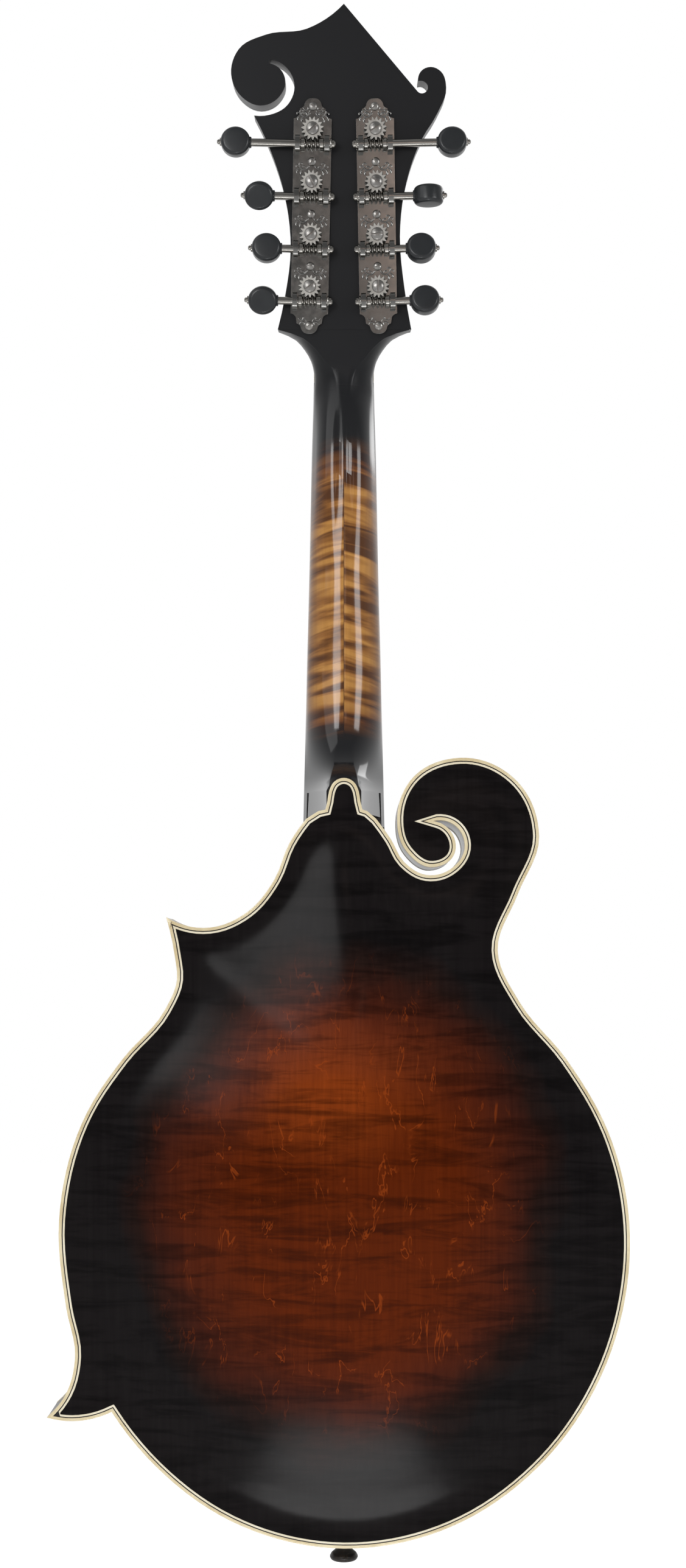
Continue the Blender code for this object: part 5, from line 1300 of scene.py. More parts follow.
def post_places(side):
    """Return where a side's four posts stand on the head, from the nut up."""
    slope = math.tan(math.radians(PLATE_TILT))
    heights = [LOWEST_POST + POST_SPACING * i for i in range(4)]
    return [Vector((side * (PLATE_OFFSET - slope * (y - PLATE_CENTRE)), y)) for y in heights]


def in_frame(mesh, matrix):
    """Move a mesh from its working frame into the world and return it."""
    mesh.transform(matrix)
    return mesh


head_slab = eased(slab("head", [smooth_loop(HEAD_KNOTS)], 0, HEAD_THICKNESS), 0.0004)
riser_sections = []
for distance, deep in RISER_ENDS:
    wide = half_width(distance) - 0.0015
    corners = ((-wide, 0.0001), (wide, 0.0001), (wide, deep), (-wide, deep))
    riser_sections.append([(x, -distance, z) for x, z in corners])
heel_box = box(
    "heel_box",
    (-0.04, HEEL_BOX_START, RISER_DEPTH - OVERSTAND),
    (0.04, BODY_LENGTH + 0.0002, 0.09),
)
cap_box = box(
    "cap_box",
    (-0.04, HEEL_BOX_START, BODY_DEPTH - PLATE_EDGE),
    (0.04, BODY_LENGTH + 0.09, 0.09),
)
bores = []
for side in (1, -1):
    for spot in post_places(side):
        bore = slab("bore", [circle(*spot, POST_HOLE_RADIUS, 32)], -0.01, 0.02)
        bores.append(in_frame(bore, HEAD_FRAME))
rod_pocket = box("pocket", (-0.0045, -0.002, -0.01), (0.0045, 0.023, 0.0093))
neck_mesh = cut(neck_skin(), [in_frame(heel_box, BODY_FRAME), in_frame(cap_box, BODY_FRAME)])
neck_mesh = cut(neck_mesh, [in_frame(head_slab, HEAD_FRAME)], "UNION")
neck_mesh = cut(neck_mesh, [in_frame(loft("riser", riser_sections), NECK_FRAME)], "UNION")
neck_mesh = cut(neck_mesh, bores + [in_frame(rod_pocket.copy(), HEAD_FRAME)])
add_piece("neck_and_head", neck_mesh, flamed_neck, stands_for="neck", sharp=38, flat=True)
print("neck and head have", len(neck_mesh.polygons), "faces")

# %% [markdown]
# ## Nickel, steel, ebony and bone
# Nickel plate on brass goes slightly milky, so its shine varies in soft clouds. The stamped plates have
# dulled darkest, and where a gear or a screw was cut before plating, the nickel is matt and lighter.
# Ebony is almost black with short brown pores, and bone is cream with a faint cloud.
# They are mixed here once, because plates, gears, frets and screws all share them.

# %% Mix the metals
def metal_finish(name, slot, light, dark, roughness, spread):
    """Return a metal that wanders between two tones and two roughnesses."""
    finish = Finish(name, slot, roughness, 1.0)
    cloud = finish.noise((90, 90, 90), detail=2.0, roughness=0.5)
    finish.color(finish.ramp(cloud, (0.30, dark), (0.70, light)))
    rub = finish.noise((320, 320, 320), detail=3.0, shift=(5, 6, 7))
    finish.roughness(finish.grey(rub, 0.3, 0.7, roughness - spread, roughness + spread))
    finish.bump(rub, 0.012, 0.0001)
    return finish.material


nickel = metal_finish("old_nickel", "nickel", (0.40, 0.385, 0.360), (0.33, 0.32, 0.30), 0.15, 0.03)
plate_nickel = metal_finish(
    "plate_nickel", "nickel", (0.270, 0.268, 0.258), (0.215, 0.213, 0.205), 0.16, 0.03
)
cut_nickel = metal_finish("cut_nickel", "nickel", (0.56, 0.55, 0.52), (0.45, 0.44, 0.41), 0.36, 0.05)
turned_nickel = metal_finish("turned_nickel", "nickel", (0.38, 0.37, 0.35), (0.29, 0.28, 0.27), 0.30, 0.05)
fret_nickel = metal_finish("fret_wire", "nickel", (0.70, 0.69, 0.66), (0.60, 0.59, 0.56), 0.20, 0.05)
steel = metal_finish("string_steel", "steel", (0.62, 0.62, 0.63), (0.50, 0.50, 0.52), 0.28, 0.06)
bronze = metal_finish("string_bronze", "bronze", (0.66, 0.43, 0.19), (0.50, 0.31, 0.13), 0.30, 0.06)
print("metals:", [paint.name for paint in (nickel, plate_nickel, cut_nickel, turned_nickel, fret_nickel)])

# %% Mix ebony, bone and the buttons' plastic
def ebony_finish():
    """Return ebony: nearly black with short brown pores along the grain."""
    finish = Finish("oiled_ebony", "ebony", 0.34, 0.0, 0.4)
    pores = finish.noise((900, 900, 45), detail=3.0, roughness=0.6)
    finish.color(finish.ramp(pores, (0.40, (0.0085, 0.0075, 0.0070)), (0.72, (0.030, 0.021, 0.015))))
    finish.bump(pores, 0.10, 0.0002)
    return finish.material


def head_finish():
    """Return the black lacquer over the head's face."""
    finish = Finish("black_face", "ebony", 0.14, 0.0, 0.35)
    cloud = finish.noise((40, 40, 40), detail=3.0)
    finish.color(finish.ramp(cloud, (0.3, (0.0075, 0.0075, 0.0080)), (0.7, (0.0125, 0.0125, 0.0135))))
    return finish.material


def pearl_finish():
    """Return mother-of-pearl: pale with wandering green and rose."""
    finish = Finish("pearl", "ebony", 0.18, 0.0, 0.6)
    drift = finish.noise((300, 300, 300), detail=4.0, distortion=2.0)
    green = (0.62, 0.78, 0.72)
    cream = (0.86, 0.86, 0.80)
    rose = (0.84, 0.68, 0.72)
    finish.color(finish.ramp(drift, (0.30, green), (0.50, cream), (0.70, rose)))
    return finish.material


ebony = ebony_finish()
black_face = head_finish()
pearl = pearl_finish()
bone = plastic_finish("polished_bone", "bone", (0.82, 0.76, 0.60), (0.70, 0.62, 0.44), 0.28, (400, 90, 400))
button_black = plastic_finish(
    "button_black", "black_button", (0.0190, 0.0215, 0.0240), (0.0145, 0.0165, 0.0185), 0.27, (200, 200, 200)
)
print("dark finishes:", ebony.name, black_face.name, button_black.name)

# %% [markdown]
# ## Tuner plates
# Each side's four machines share one stamped plate. Its ends are cut to a lobe between two hollows,
# its edge is bevelled bright, leaves are pressed up beside each gear, and two ears are bent up at each worm.
# The outline is one smooth line with corners, the ears are slabs with round tops,
# and the leaves are tapered tubes.

# %% Shape a tuner plate
PLATE_LENGTH = 0.1036
PLATE_THICKNESS = 0.0012
PLATE_EASE = 0.00042
PLATE_CURVE_ERROR = 0.00002
SHAFT_DISTANCE = 0.0065
SHAFT_HEIGHT = 0.0033
LUG_SPAN = 0.0112
LUG_THICKNESS = 0.0022
LUG_WIDTH = 0.0076
LUG_HEIGHT = 0.0060
LUG_ROUND = 0.0026
LUG_BORE_RADIUS = 0.0020
LEAF_FLATNESS = 0.62
END_LEAVES_PLACE = 0.0135
CLEARANCE = 0.0003
PLATE_REST = HEAD_THICKNESS + CLEARANCE
MILLIMETRE = 0.001
# The plate's end in millimetres from its middle line and from its tip
PLATE_END = (
    (8.60, 8.90, "corner"),
    (7.50, 8.60),
    (6.35, 7.60),
    (6.00, 6.40, "corner"),
    (5.75, 4.60, "corner"),
    (4.85, 4.20),
    (3.95, 3.30, "corner"),
    (3.55, 1.90),
    (2.20, 0.45),
    (0.00, 0.00),
)
# Leaves beside a gear, in millimetres from its centre, each with a thickness at both ends
LEAVES = (
    (
        ((-1.3, 7.5), (-2.3, 6.1), (-3.7, 5.7), (-5.2, 6.5), (-6.2, 7.5), (-7.2, 7.4), (-7.2, 6.6)),
        0.42,
        0.22,
    ),
    (((-3.3, 5.8), (-4.5, 5.4), (-5.1, 4.5), (-4.9, 3.4)), 0.20, 0.55),
    (((-5.2, 6.4), (-6.3, 5.9), (-6.9, 5.0), (-6.6, 4.1)), 0.18, 0.50),
    (((-5.4, 7.0), (-5.9, 8.1), (-5.0, 8.7), (-4.3, 8.1)), 0.22, 0.40),
    (((-2.6, 6.2), (-3.3, 7.2), (-4.3, 7.1)), 0.18, 0.40),
)
END_LEAVES = (
    (((-4.6, 9.4), (-3.6, 8.3), (-2.3, 8.6), (-2.2, 9.6)), 0.24, 0.42),
    (((-5.2, 6.4), (-4.3, 7.4), (-3.0, 7.0), (-2.7, 6.0)), 0.22, 0.40),
    (((-1.4, 8.3), (-1.9, 7.0), (-3.2, 6.3)), 0.24, 0.18),
)


def plate_outline():
    """Return the outline of a tuner plate, anticlockwise."""
    end = PLATE_LENGTH / 2
    corner = [(x * MILLIMETRE, end - y * MILLIMETRE, *mark) for x, y, *mark in PLATE_END]
    right = corner + [(-x, y, *mark) for x, y, *mark in corner[-2::-1]]
    return smooth_loop(right + [(-x, -y, *mark) for x, y, *mark in right], PLATE_CURVE_ERROR)


def post_steps():
    """Return where the four posts stand along a tuner plate, from its middle."""
    cosine = math.cos(math.radians(PLATE_TILT))
    return [(LOWEST_POST - PLATE_CENTRE + POST_SPACING * i) / cosine for i in range(4)]


def lug_mesh():
    """Return an ear of a plate: round on top, bored for the worm shaft, standing across x."""
    half = LUG_WIDTH / 2
    loop = [Vector((-half, 0)), Vector((half, 0))]
    for i in range(25):
        angle = math.pi * i / 24
        loop.append(Vector((half * math.cos(angle), LUG_HEIGHT - LUG_ROUND + LUG_ROUND * math.sin(angle))))
    bore = circle(0, SHAFT_HEIGHT, LUG_BORE_RADIUS, 32)
    lug = eased(slab("lug", [loop, bore], -LUG_THICKNESS / 2, LUG_THICKNESS / 2), 0.0002)
    lug.transform(Matrix(((0, 0, 1), (1, 0, 0), (0, 1, 0))).to_4x4())
    return lug


def leaf_mesh(leaf, side, place):
    """Return one pressed leaf on the plate's face."""
    points, start, end = leaf
    path = smooth_path([(side * x * MILLIMETRE, y * MILLIMETRE, 0) for x, y in points], 5)
    radii = [start + (end - start) * i / (len(path) - 1) for i in range(len(path))]
    radii[0] *= 0.5
    radii[-1] *= 0.6
    mesh = tube("leaf", [place + spot for spot in path], MILLIMETRE, 3, radii)
    lift = at(0, 0, place.z)
    mesh.transform(lift @ Matrix.Diagonal((1, 1, LEAF_FLATNESS, 1)) @ lift.inverted())
    return mesh


def plate_mesh():
    """Return a whole plate with its ears and leaves."""
    holes = [circle(0, along, POST_HOLE_RADIUS, 32) for along in post_steps()]
    meshes = [eased(slab("plate", [plate_outline()] + holes, 0, PLATE_THICKNESS), PLATE_EASE, 3)]
    lug = lug_mesh()
    for along in post_steps():
        for side in (-1, 1):
            spot = (side * (LUG_SPAN + LUG_THICKNESS) / 2, along - SHAFT_DISTANCE, PLATE_THICKNESS)
            meshes.append((lug, at(*spot)))
            for leaf in LEAVES:
                meshes.append(leaf_mesh(leaf, side, Vector((0, along, PLATE_THICKNESS))))
    flip = turn_by(180)
    for side in (-1, 1):
        for leaf in END_LEAVES:
            place = Vector((0, PLATE_LENGTH / 2 - END_LEAVES_PLACE, PLATE_THICKNESS))
            mesh = leaf_mesh(leaf, side, place)
            meshes += [mesh, (mesh, flip)]
    return joined("plate", meshes)


tuner_plate = plate_mesh()
print("a tuner plate has", len(tuner_plate.polygons), "faces")

# %% [markdown]
# ## Screws
# Small domed screws with a straight slot hold the plates, and each gear is held on its post by a larger one.
# No two slots stand alike once a screw is tight, so every screw is given its own turn.

# %% Cut slotted screws
def slotted_screw(radius, rise, slot_width, slot_depth, skirt):
    """Return a domed screw head with a straight slot, its foot at z = 0."""
    profile = []
    for i in range(9):
        angle = math.pi / 2 * i / 8
        profile.append((radius * math.sin(angle), skirt + (rise - skirt) * math.cos(angle)))
    head = turned("screw", profile + [(radius, 0), (0, 0)], 40)
    reach = radius * 1.2
    saw = box("saw", (-reach, -slot_width / 2, rise - slot_depth), (reach, slot_width / 2, rise + 0.001))
    return cut(head, [saw])


PLATE_SCREW_TURNS = (35, -52, 64, 12, -28)
SCREW_FROM_END = 0.0036
SCREW_FROM_POST = 0.0093

plate_screw = slotted_screw(0.0019, 0.0010, 0.0005, 0.0008, 0.0003)
gear_screw = slotted_screw(0.0029, 0.0017, 0.0007, 0.0013, 0.0006)
screw_steps = [PLATE_LENGTH / 2 - SCREW_FROM_END]
screw_steps += [along + SCREW_FROM_POST for along in post_steps()[2::-1]]
screw_steps += [SCREW_FROM_END - PLATE_LENGTH / 2]
print("screws a plate:", len(screw_steps))

# %% [markdown]
# ## Gears, worms and posts
# A worm turns a gear fifteen times slower and holds it against the string's pull.
# The gear's teeth are cut slightly askew to follow the worm's thread, so its outline twists as it rises.
# The thread is one tooth profile spun up a helix, and it has the real pitch,
# so worm and gear mesh when they turn.

# %% Cut a gear with its post
GEAR_TEETH = 15
WORM_PITCH = 0.00192
GEAR_TIP_RADIUS = 0.0051
GEAR_ROOT_RADIUS = 0.0038
GEAR_BELOW_AXIS = 0.0009
GEAR_ABOVE_AXIS = 0.0017
TOOTH_SHARE = 0.40
FLANK_ANGLE = 20.0
POST_RADIUS = 0.0029
POST_WAIST_RADIUS = 0.0023
POST_HEIGHT = 0.013
OVERLAY_THICKNESS = 0.002
PITCH_RADIUS = GEAR_TEETH * WORM_PITCH / math.tau


def gear_outline(twist):
    """Return the gear's toothed outline, turned by a twist, with a tooth straight down."""
    slope = math.tan(math.radians(FLANK_ANGLE))
    middle = TOOTH_SHARE * WORM_PITCH
    tip = middle - 2 * (GEAR_TIP_RADIUS - PITCH_RADIUS) * slope
    root = middle + 2 * (PITCH_RADIUS - GEAR_ROOT_RADIUS) * slope
    loop = []
    for k in range(GEAR_TEETH):
        centre = math.tau * k / GEAR_TEETH - math.pi / 2 + twist
        for radius, half in (
            (GEAR_ROOT_RADIUS, -root / 2),
            (GEAR_TIP_RADIUS, -tip / 2),
            (GEAR_TIP_RADIUS, tip / 2),
            (GEAR_ROOT_RADIUS, root / 2),
        ):
            angle = centre + half / radius
            loop.append((radius * math.cos(angle), radius * math.sin(angle)))
    return loop


def gear_mesh():
    """Return a gear with its string post, z counted from the worm's axis."""
    skew = WORM_PITCH / (math.tau * (SHAFT_DISTANCE - PITCH_RADIUS) * PITCH_RADIUS)
    levels = (-GEAR_BELOW_AXIS, GEAR_ABOVE_AXIS)
    rings = [[(x, y, z) for x, y in gear_outline(z * skew)] for z in levels]
    wheel = eased(loft("gear", rings), 0.0001, 1)
    face = -SHAFT_HEIGHT - PLATE_THICKNESS - 2 * CLEARANCE - HEAD_THICKNESS - OVERLAY_THICKNESS
    end = face - POST_HEIGHT
    profile = [
        (0, GEAR_ABOVE_AXIS),
        (POST_RADIUS, GEAR_ABOVE_AXIS),
        (POST_RADIUS, face - 0.0016),
        (POST_WAIST_RADIUS + 0.0002, face - 0.0021),
        (POST_WAIST_RADIUS, face - 0.0028),
        (POST_WAIST_RADIUS, end + 0.0032),
        (POST_WAIST_RADIUS + 0.0002, end + 0.0024),
        (POST_RADIUS * 0.94, end + 0.0018),
        (POST_RADIUS * 0.94, end + 0.0005),
        (POST_RADIUS * 0.80, end),
        (0, end),
    ]
    post = turned("post", profile, 40)
    hole = box("hole", (-0.006, -0.0006, end + 0.0044), (0.006, 0.0006, end + 0.0056))
    return joined("gear", [wheel, cut(post, [hole])])


gear = gear_mesh()
print("a gear and its post have", len(gear.polygons), "faces")

# %% Cut the worms
WORM_TIP_RADIUS = 0.0025
WORM_ROOT_RADIUS = 0.0012
WORM_FACETS = 32
SHAFT_RADIUS = 0.00175
COLLAR_RADIUS = 0.0026
COLLAR_LENGTH = 0.0020
SHAFT_REACHES = (0.0214, 0.0200, 0.0237, 0.0347)
BUTTON_LENGTH = 0.0134
BUTTON_WIDTH = 0.0126
BUTTON_THICKNESS = 0.0082


def worm_thread(length):
    """Return the worm's thread: its profile spun into a helix, with flat ends."""
    pitch_radius = SHAFT_DISTANCE - PITCH_RADIUS
    slope = math.tan(math.radians(FLANK_ANGLE))
    middle = TOOTH_SHARE * WORM_PITCH
    tip = middle - 2 * (WORM_TIP_RADIUS - pitch_radius) * slope
    root = middle + 2 * (pitch_radius - WORM_ROOT_RADIUS) * slope
    turns = math.ceil(length / WORM_PITCH) + 2
    bm = bmesh.new()
    profile = (
        (WORM_ROOT_RADIUS, (WORM_PITCH - root) / 2),
        (WORM_TIP_RADIUS - 0.0001, (WORM_PITCH - tip) / 2 - 0.00002),
        (WORM_TIP_RADIUS, (WORM_PITCH - tip) / 2 + 0.00008),
        (WORM_TIP_RADIUS, (WORM_PITCH + tip) / 2 - 0.00008),
        (WORM_TIP_RADIUS - 0.0001, (WORM_PITCH + tip) / 2 + 0.00002),
        (WORM_ROOT_RADIUS, (WORM_PITCH + root) / 2),
        (WORM_ROOT_RADIUS, (WORM_PITCH - root) / 2 + WORM_PITCH),
    )
    verts = [bm.verts.new((radius, 0, z)) for radius, z in profile]
    edges = [bm.edges.new(pair) for pair in zip(verts, verts[1:])]
    bmesh.ops.spin(
        bm, geom=verts + edges, axis=(0, 0, 1), dvec=(0, 0, WORM_PITCH / WORM_FACETS),
        angle=math.tau * turns, steps=WORM_FACETS * turns,
    )
    bmesh.ops.remove_doubles(bm, verts=bm.verts[:], dist=WELD_DISTANCE)
    bmesh.ops.translate(bm, verts=bm.verts[:], vec=(0, 0, -WORM_PITCH * ((turns + 1) // 2)))
    for side in (-1, 1):
        geometry = bm.verts[:] + bm.edges[:] + bm.faces[:]
        bmesh.ops.bisect_plane(
            bm, geom=geometry, plane_co=(0, 0, side * length / 2), plane_no=(0, 0, side),
            dist=WELD_DISTANCE, clear_outer=True,
        )
    bmesh.ops.holes_fill(bm, edges=[item for item in bm.edges if item.is_boundary])
    return closed_mesh("worm_thread", bm)


def worm_mesh(reach):
    """Return a worm shaft, its z along the axis towards the button, 0 at the gear."""
    near = LUG_SPAN / 2
    cap = -near - LUG_THICKNESS - CLEARANCE
    collar = near - CLEARANCE
    end = reach - BUTTON_LENGTH / 2 + 0.0010
    edge_round = 0.0003
    core = WORM_ROOT_RADIUS * 0.95
    profile = [(0, end), (SHAFT_RADIUS, end), (SHAFT_RADIUS, collar)]
    for start, stop in ((collar, collar - COLLAR_LENGTH), (COLLAR_LENGTH - collar, -collar)):
        profile += [
            (COLLAR_RADIUS - edge_round, start),
            (COLLAR_RADIUS, start - edge_round),
            (COLLAR_RADIUS, stop + edge_round),
            (COLLAR_RADIUS - edge_round, stop),
        ]
        if start > 0:
            profile += [(core, stop), (core, COLLAR_LENGTH - collar)]
    profile += [(SHAFT_RADIUS, -collar), (SHAFT_RADIUS, cap)]
    profile += [(COLLAR_RADIUS - 0.0001, cap), (COLLAR_RADIUS, cap - 0.0002), (COLLAR_RADIUS, cap - 0.0007)]
    profile += [(0.0019, cap - 0.0009), (0.0019, cap - 0.0019), (0.0015, cap - 0.0024), (0, cap - 0.0026)]
    thread = worm_thread(2 * (collar - COLLAR_LENGTH) + 0.0008)
    return joined("worm", [turned("shaft", profile, 40), thread])


worms = [worm_mesh(reach) for reach in SHAFT_REACHES]
print("worms have", [len(mesh.polygons) for mesh in worms], "faces")

# %% [markdown]
# ## Buttons
# The buttons are thick oval discs turned from black plastic and pushed on the shafts.
# A profile with wide, round edges is turned, squeezed slightly oval, and drilled for the shaft,
# and the shaft's steel tip shows at the far side, riveted over a small washer.

# %% Turn a button and its tip
BUTTON_ROUND = 0.0019
BUTTON_FACETS = 32
SHAFT_TIP = 0.0018


def button_meshes():
    """Return a button, its steel tip and the dark collar where the shaft enters it."""
    half = BUTTON_THICKNESS / 2
    radius = BUTTON_LENGTH / 2
    profile = [(0, half + 0.0001), (radius * 0.5, half + 0.00006)]
    for i in range(9):
        angle = math.pi / 2 * i / 8
        across = radius - BUTTON_ROUND + BUTTON_ROUND * math.sin(angle)
        profile.append((across, half - BUTTON_ROUND * (1 - math.cos(angle))))
    profile += [(r, -z) for r, z in profile[::-1]]
    disc = turned("button", profile, 96)
    disc.transform(Matrix.Diagonal((1, BUTTON_WIDTH / BUTTON_LENGTH, 1, 1)))
    lying = turn_by(90, "Y")
    bore = slab("bore", [circle(0, 0, SHAFT_RADIUS + CLEARANCE, 24)], -radius - 0.001, 0.0013 - radius)
    bore.transform(lying)
    ring_profile = (
        (0.0021, 0.0006), (0.0025, 0.0006), (0.0025, -0.0001),
        (0.0023, -0.0004), (0.0021, -0.0004), (0.0021, 0.0006),
    )
    ring = turned("ring", [(r, -radius + z) for r, z in ring_profile], BUTTON_FACETS)
    tip_profile = (
        (0, SHAFT_TIP), (0.0007, SHAFT_TIP - 0.0001), (0.0011, SHAFT_TIP - 0.0006), (0.0011, 0.0006),
        (0.0018, 0.0004), (0.0018, -0.0008), (0, -0.0008),
    )
    tip = turned("tip", [(r, radius + z) for r, z in tip_profile], BUTTON_FACETS)
    return cut(disc, [bore]), (tip, lying), (ring, lying)


button, tip, ring = button_meshes()
button_tip = joined("tip", [tip])
button_ring = joined("ring", [ring])
print("a button has", len(button.polygons), "faces")

# %% Fit both sets of tuners
SIDES = ((1, "bass"), (-1, "treble"))
BUTTON_TURNS = {"bass": (-10.0, -14.0, 82.0, -8.0), "treble": (8.0, -6.0, 10.0, -4.0)}
GEAR_SCREW_TURNS = {"bass": (88, 2, -40, 28), "treble": (34, 42, -62, 38)}

for side, hand in SIDES:
    plate_frame = HEAD_FRAME @ at(side * PLATE_OFFSET, PLATE_CENTRE, PLATE_REST) @ turn_by(PLATE_TILT * side)
    node = f"tuner_plate_{hand}"
    add_piece(node + "_stamped", tuner_plate, plate_nickel, where=plate_frame, stands_for=node, flat=True)
    screws = []
    for along, turn in zip(screw_steps, PLATE_SCREW_TURNS):
        screws.append((plate_screw, at(0, along, PLATE_THICKNESS) @ turn_by(turn * side)))
    add_piece(f"plate_screws_{hand}", joined("screws", screws), turned_nickel, where=plate_frame)
    for i, along in enumerate(post_steps()):
        number = i + 1
        raised = plate_frame @ at(0, along, PLATE_THICKNESS + SHAFT_HEIGHT)
        node = f"post_gear_{hand}_{number}"
        body = f"post_{hand}_{number}"
        add_piece(node + "_cut", gear, cut_nickel, body, raised, node, 30)
        top = raised @ at(0, 0, GEAR_ABOVE_AXIS - 0.0001) @ turn_by(GEAR_SCREW_TURNS[hand][i])
        add_piece(f"gear_screw_{hand}_{number}", gear_screw, turned_nickel, body, top)
        outwards = Matrix(((0, 0, side), (1, 0, 0), (0, side, 0))).to_4x4()
        line = raised @ at(0, -SHAFT_DISTANCE, 0) @ outwards
        body = f"worm_{hand}_{number}"
        node = f"worm_shaft_{hand}_{number}"
        add_piece(node + "_cut", worms[i], nickel, body, line, node, 30)
        grip = line @ turn_by(BUTTON_TURNS[hand][i] * side) @ at(0, 0, SHAFT_REACHES[i])
        grip = grip @ Matrix(((0, 1, 0), (0, 0, 1), (1, 0, 0))).to_4x4()
        node = f"tuner_button_{hand}_{number}"
        add_piece(node + "_turned", button, button_black, body, grip, node)
        add_piece(f"button_tip_{hand}_{number}", button_tip, nickel, body, grip)
        add_piece(f"button_ring_{hand}_{number}", button_ring, button_black, body, grip)
print("tuners fitted on", [hand for side, hand in SIDES])

# %% [markdown]
# ## The head's face
# A thin ebony sheet covers the head's face and the top of its flare, lacquered black.
# It is sawn with the head to one outline, so its knots are the head's, with the flare's added.
# A small bell-shaped cover hides the truss rod's nut, and a bushing lines each post's hole.

# %% Veneer the head
ROD_COVER_THICKNESS = 0.0016
ROD_COVER_KNOTS = (
    (-0.0095, 0.0020, "corner"),
    (0.0095, 0.0020, "corner"),
    (0.0082, 0.0120),
    (0.0058, 0.0220),
    (0.0048, 0.0290),
    (0.0000, 0.0330),
    (-0.0048, 0.0290),
    (-0.0058, 0.0220),
    (-0.0082, 0.0120),
)
VENEER_FACE = -CLEARANCE - OVERLAY_THICKNESS

flare = [(-wide, height) for height, wide, back in HEAD_FLARE[3:0:-1]]
foot = HEAD_FLARE[0][1]
face_knots = list(HEAD_KNOTS) + flare + [(-foot, CLEARANCE, "corner"), (foot, CLEARANCE, "corner")]
face_knots += [(-x, y) for x, y in flare[::-1]]
holes = [circle(*spot, POST_HOLE_RADIUS, 32) for side in (1, -1) for spot in post_places(side)]
veneer = eased(slab("veneer", [smooth_loop(face_knots)] + holes, VENEER_FACE, -CLEARANCE), 0.0003)
veneer = cut(veneer, [rod_pocket])
add_piece("head_veneer", veneer, black_face, where=HEAD_FRAME, stands_for="headstock_overlay")
cover_face = VENEER_FACE - CLEARANCE
cover_top = cover_face - ROD_COVER_THICKNESS
bell = eased(slab("bell", [smooth_loop(ROD_COVER_KNOTS)], cover_top, cover_face), 0.0004)
add_piece("rod_cover", bell, black_face, where=HEAD_FRAME, stands_for="truss_rod_cover")
facing_out = turn_by(180, "X")
small_screw = slotted_screw(0.0014, 0.0007, 0.0003, 0.0004, 0.0002)
screws = []
for x, y, turn in ((-0.0066, 0.0048, 20), (0.0066, 0.0048, -47), (0.0, 0.0296, 70)):
    screws.append((small_screw, at(x, y, cover_top) @ facing_out @ turn_by(turn)))
add_piece("rod_cover_screws", joined("screws", screws), nickel, where=HEAD_FRAME)
bushing_profile = (
    (0.0033, 0.001), (0.0046, 0), (0.0046, -0.0003),
    (0.0043, -0.0006), (0.0033, -0.0006), (0.0033, 0.001),
)
bushing = turned("bushing", bushing_profile, 40)
spots = [spot for side in (1, -1) for spot in post_places(side)]
rings = [(bushing, at(*spot, VENEER_FACE)) for spot in spots]
add_piece("post_bushings", joined("bushings", rings), nickel, where=HEAD_FRAME)
print("veneer has", len(veneer.polygons), "faces and", len(rings), "bushings")

# %% [markdown]
# ## Fingerboard, frets and dots
# The board is ebony, widening towards the body. Frets are wire with a round crown, pressed in slots
# whose places follow the twelfth root of two. Pearl dots mark the frets that players count by.

# %% Lay the fingerboard
FINGERBOARD_THICKNESS = 0.005
FRET_COUNT = 21
FRET_WIDTH = 0.0011
FRET_HEIGHT = 0.0010
FRET_TANG = 0.0003
DOT_FRETS = (3, 5, 7, 10, 15, 17)
DOT_RADIUS = 0.0022

board_end = along_neck(FRET_COUNT) + 0.004
board_face = -FINGERBOARD_THICKNESS
near = half_width(0)
far = half_width(board_end)
board_loop = [Vector((-near, 0)), Vector((-far, -board_end)), Vector((far, -board_end)), Vector((near, 0))]
board = eased(slab("board", [board_loop], board_face, -CLEARANCE), 0.0003)
add_piece("fingerboard_ebony", board, ebony, where=NECK_FRAME, stands_for="fingerboard")
frets = []
for fret in range(1, FRET_COUNT + 1):
    middle = along_neck(fret)
    sections = []
    for side in (-1, 1):
        reach = side * (half_width(middle) - 0.0001)
        inner = side * 0.0006
        section = []
        for i in range(9):
            angle = math.pi * i / 8
            along = FRET_WIDTH / 2 * math.cos(angle)
            rise = FRET_HEIGHT * math.sin(angle)
            section.append((reach - inner * math.sin(angle), -middle + along, board_face - rise))
        for along in (-FRET_WIDTH / 2, FRET_WIDTH / 2):
            section.append((reach, -middle + along, board_face + FRET_TANG))
        sections.append(section)
    frets.append(loft("fret", sections))
add_piece("frets", joined("frets", frets), fret_nickel, where=NECK_FRAME, stands_for="fingerboard")
dot = turned("dot", [(0, -0.00006), (DOT_RADIUS, -0.00006), (DOT_RADIUS, 0.0006), (0, 0.0006)], 40)
spots = [(0, (along_neck(fret) + along_neck(fret - 1)) / 2) for fret in DOT_FRETS]
spots += [(x, (along_neck(12) + along_neck(11)) / 2) for x in (-0.0075, 0.0075)]
dots = [(dot, at(x, -y, board_face)) for x, y in spots]
add_piece("position_dots", joined("dots", dots), pearl, where=NECK_FRAME, stands_for="fingerboard")
dress(bone, "nut", ease_width=0.0003)
print("frets:", len(frets), "dots:", len(dots))

# %% [markdown]
# ## The bridge
# The bridge stands loose on the top, so its foot is fitted to the arching, and only the strings hold it.
# Two threaded studs carry knurled wheels, and the saddle rests on the wheels, so a turn raises the strings.
# The base is lofted along its length over the same arching rule that carved the top.

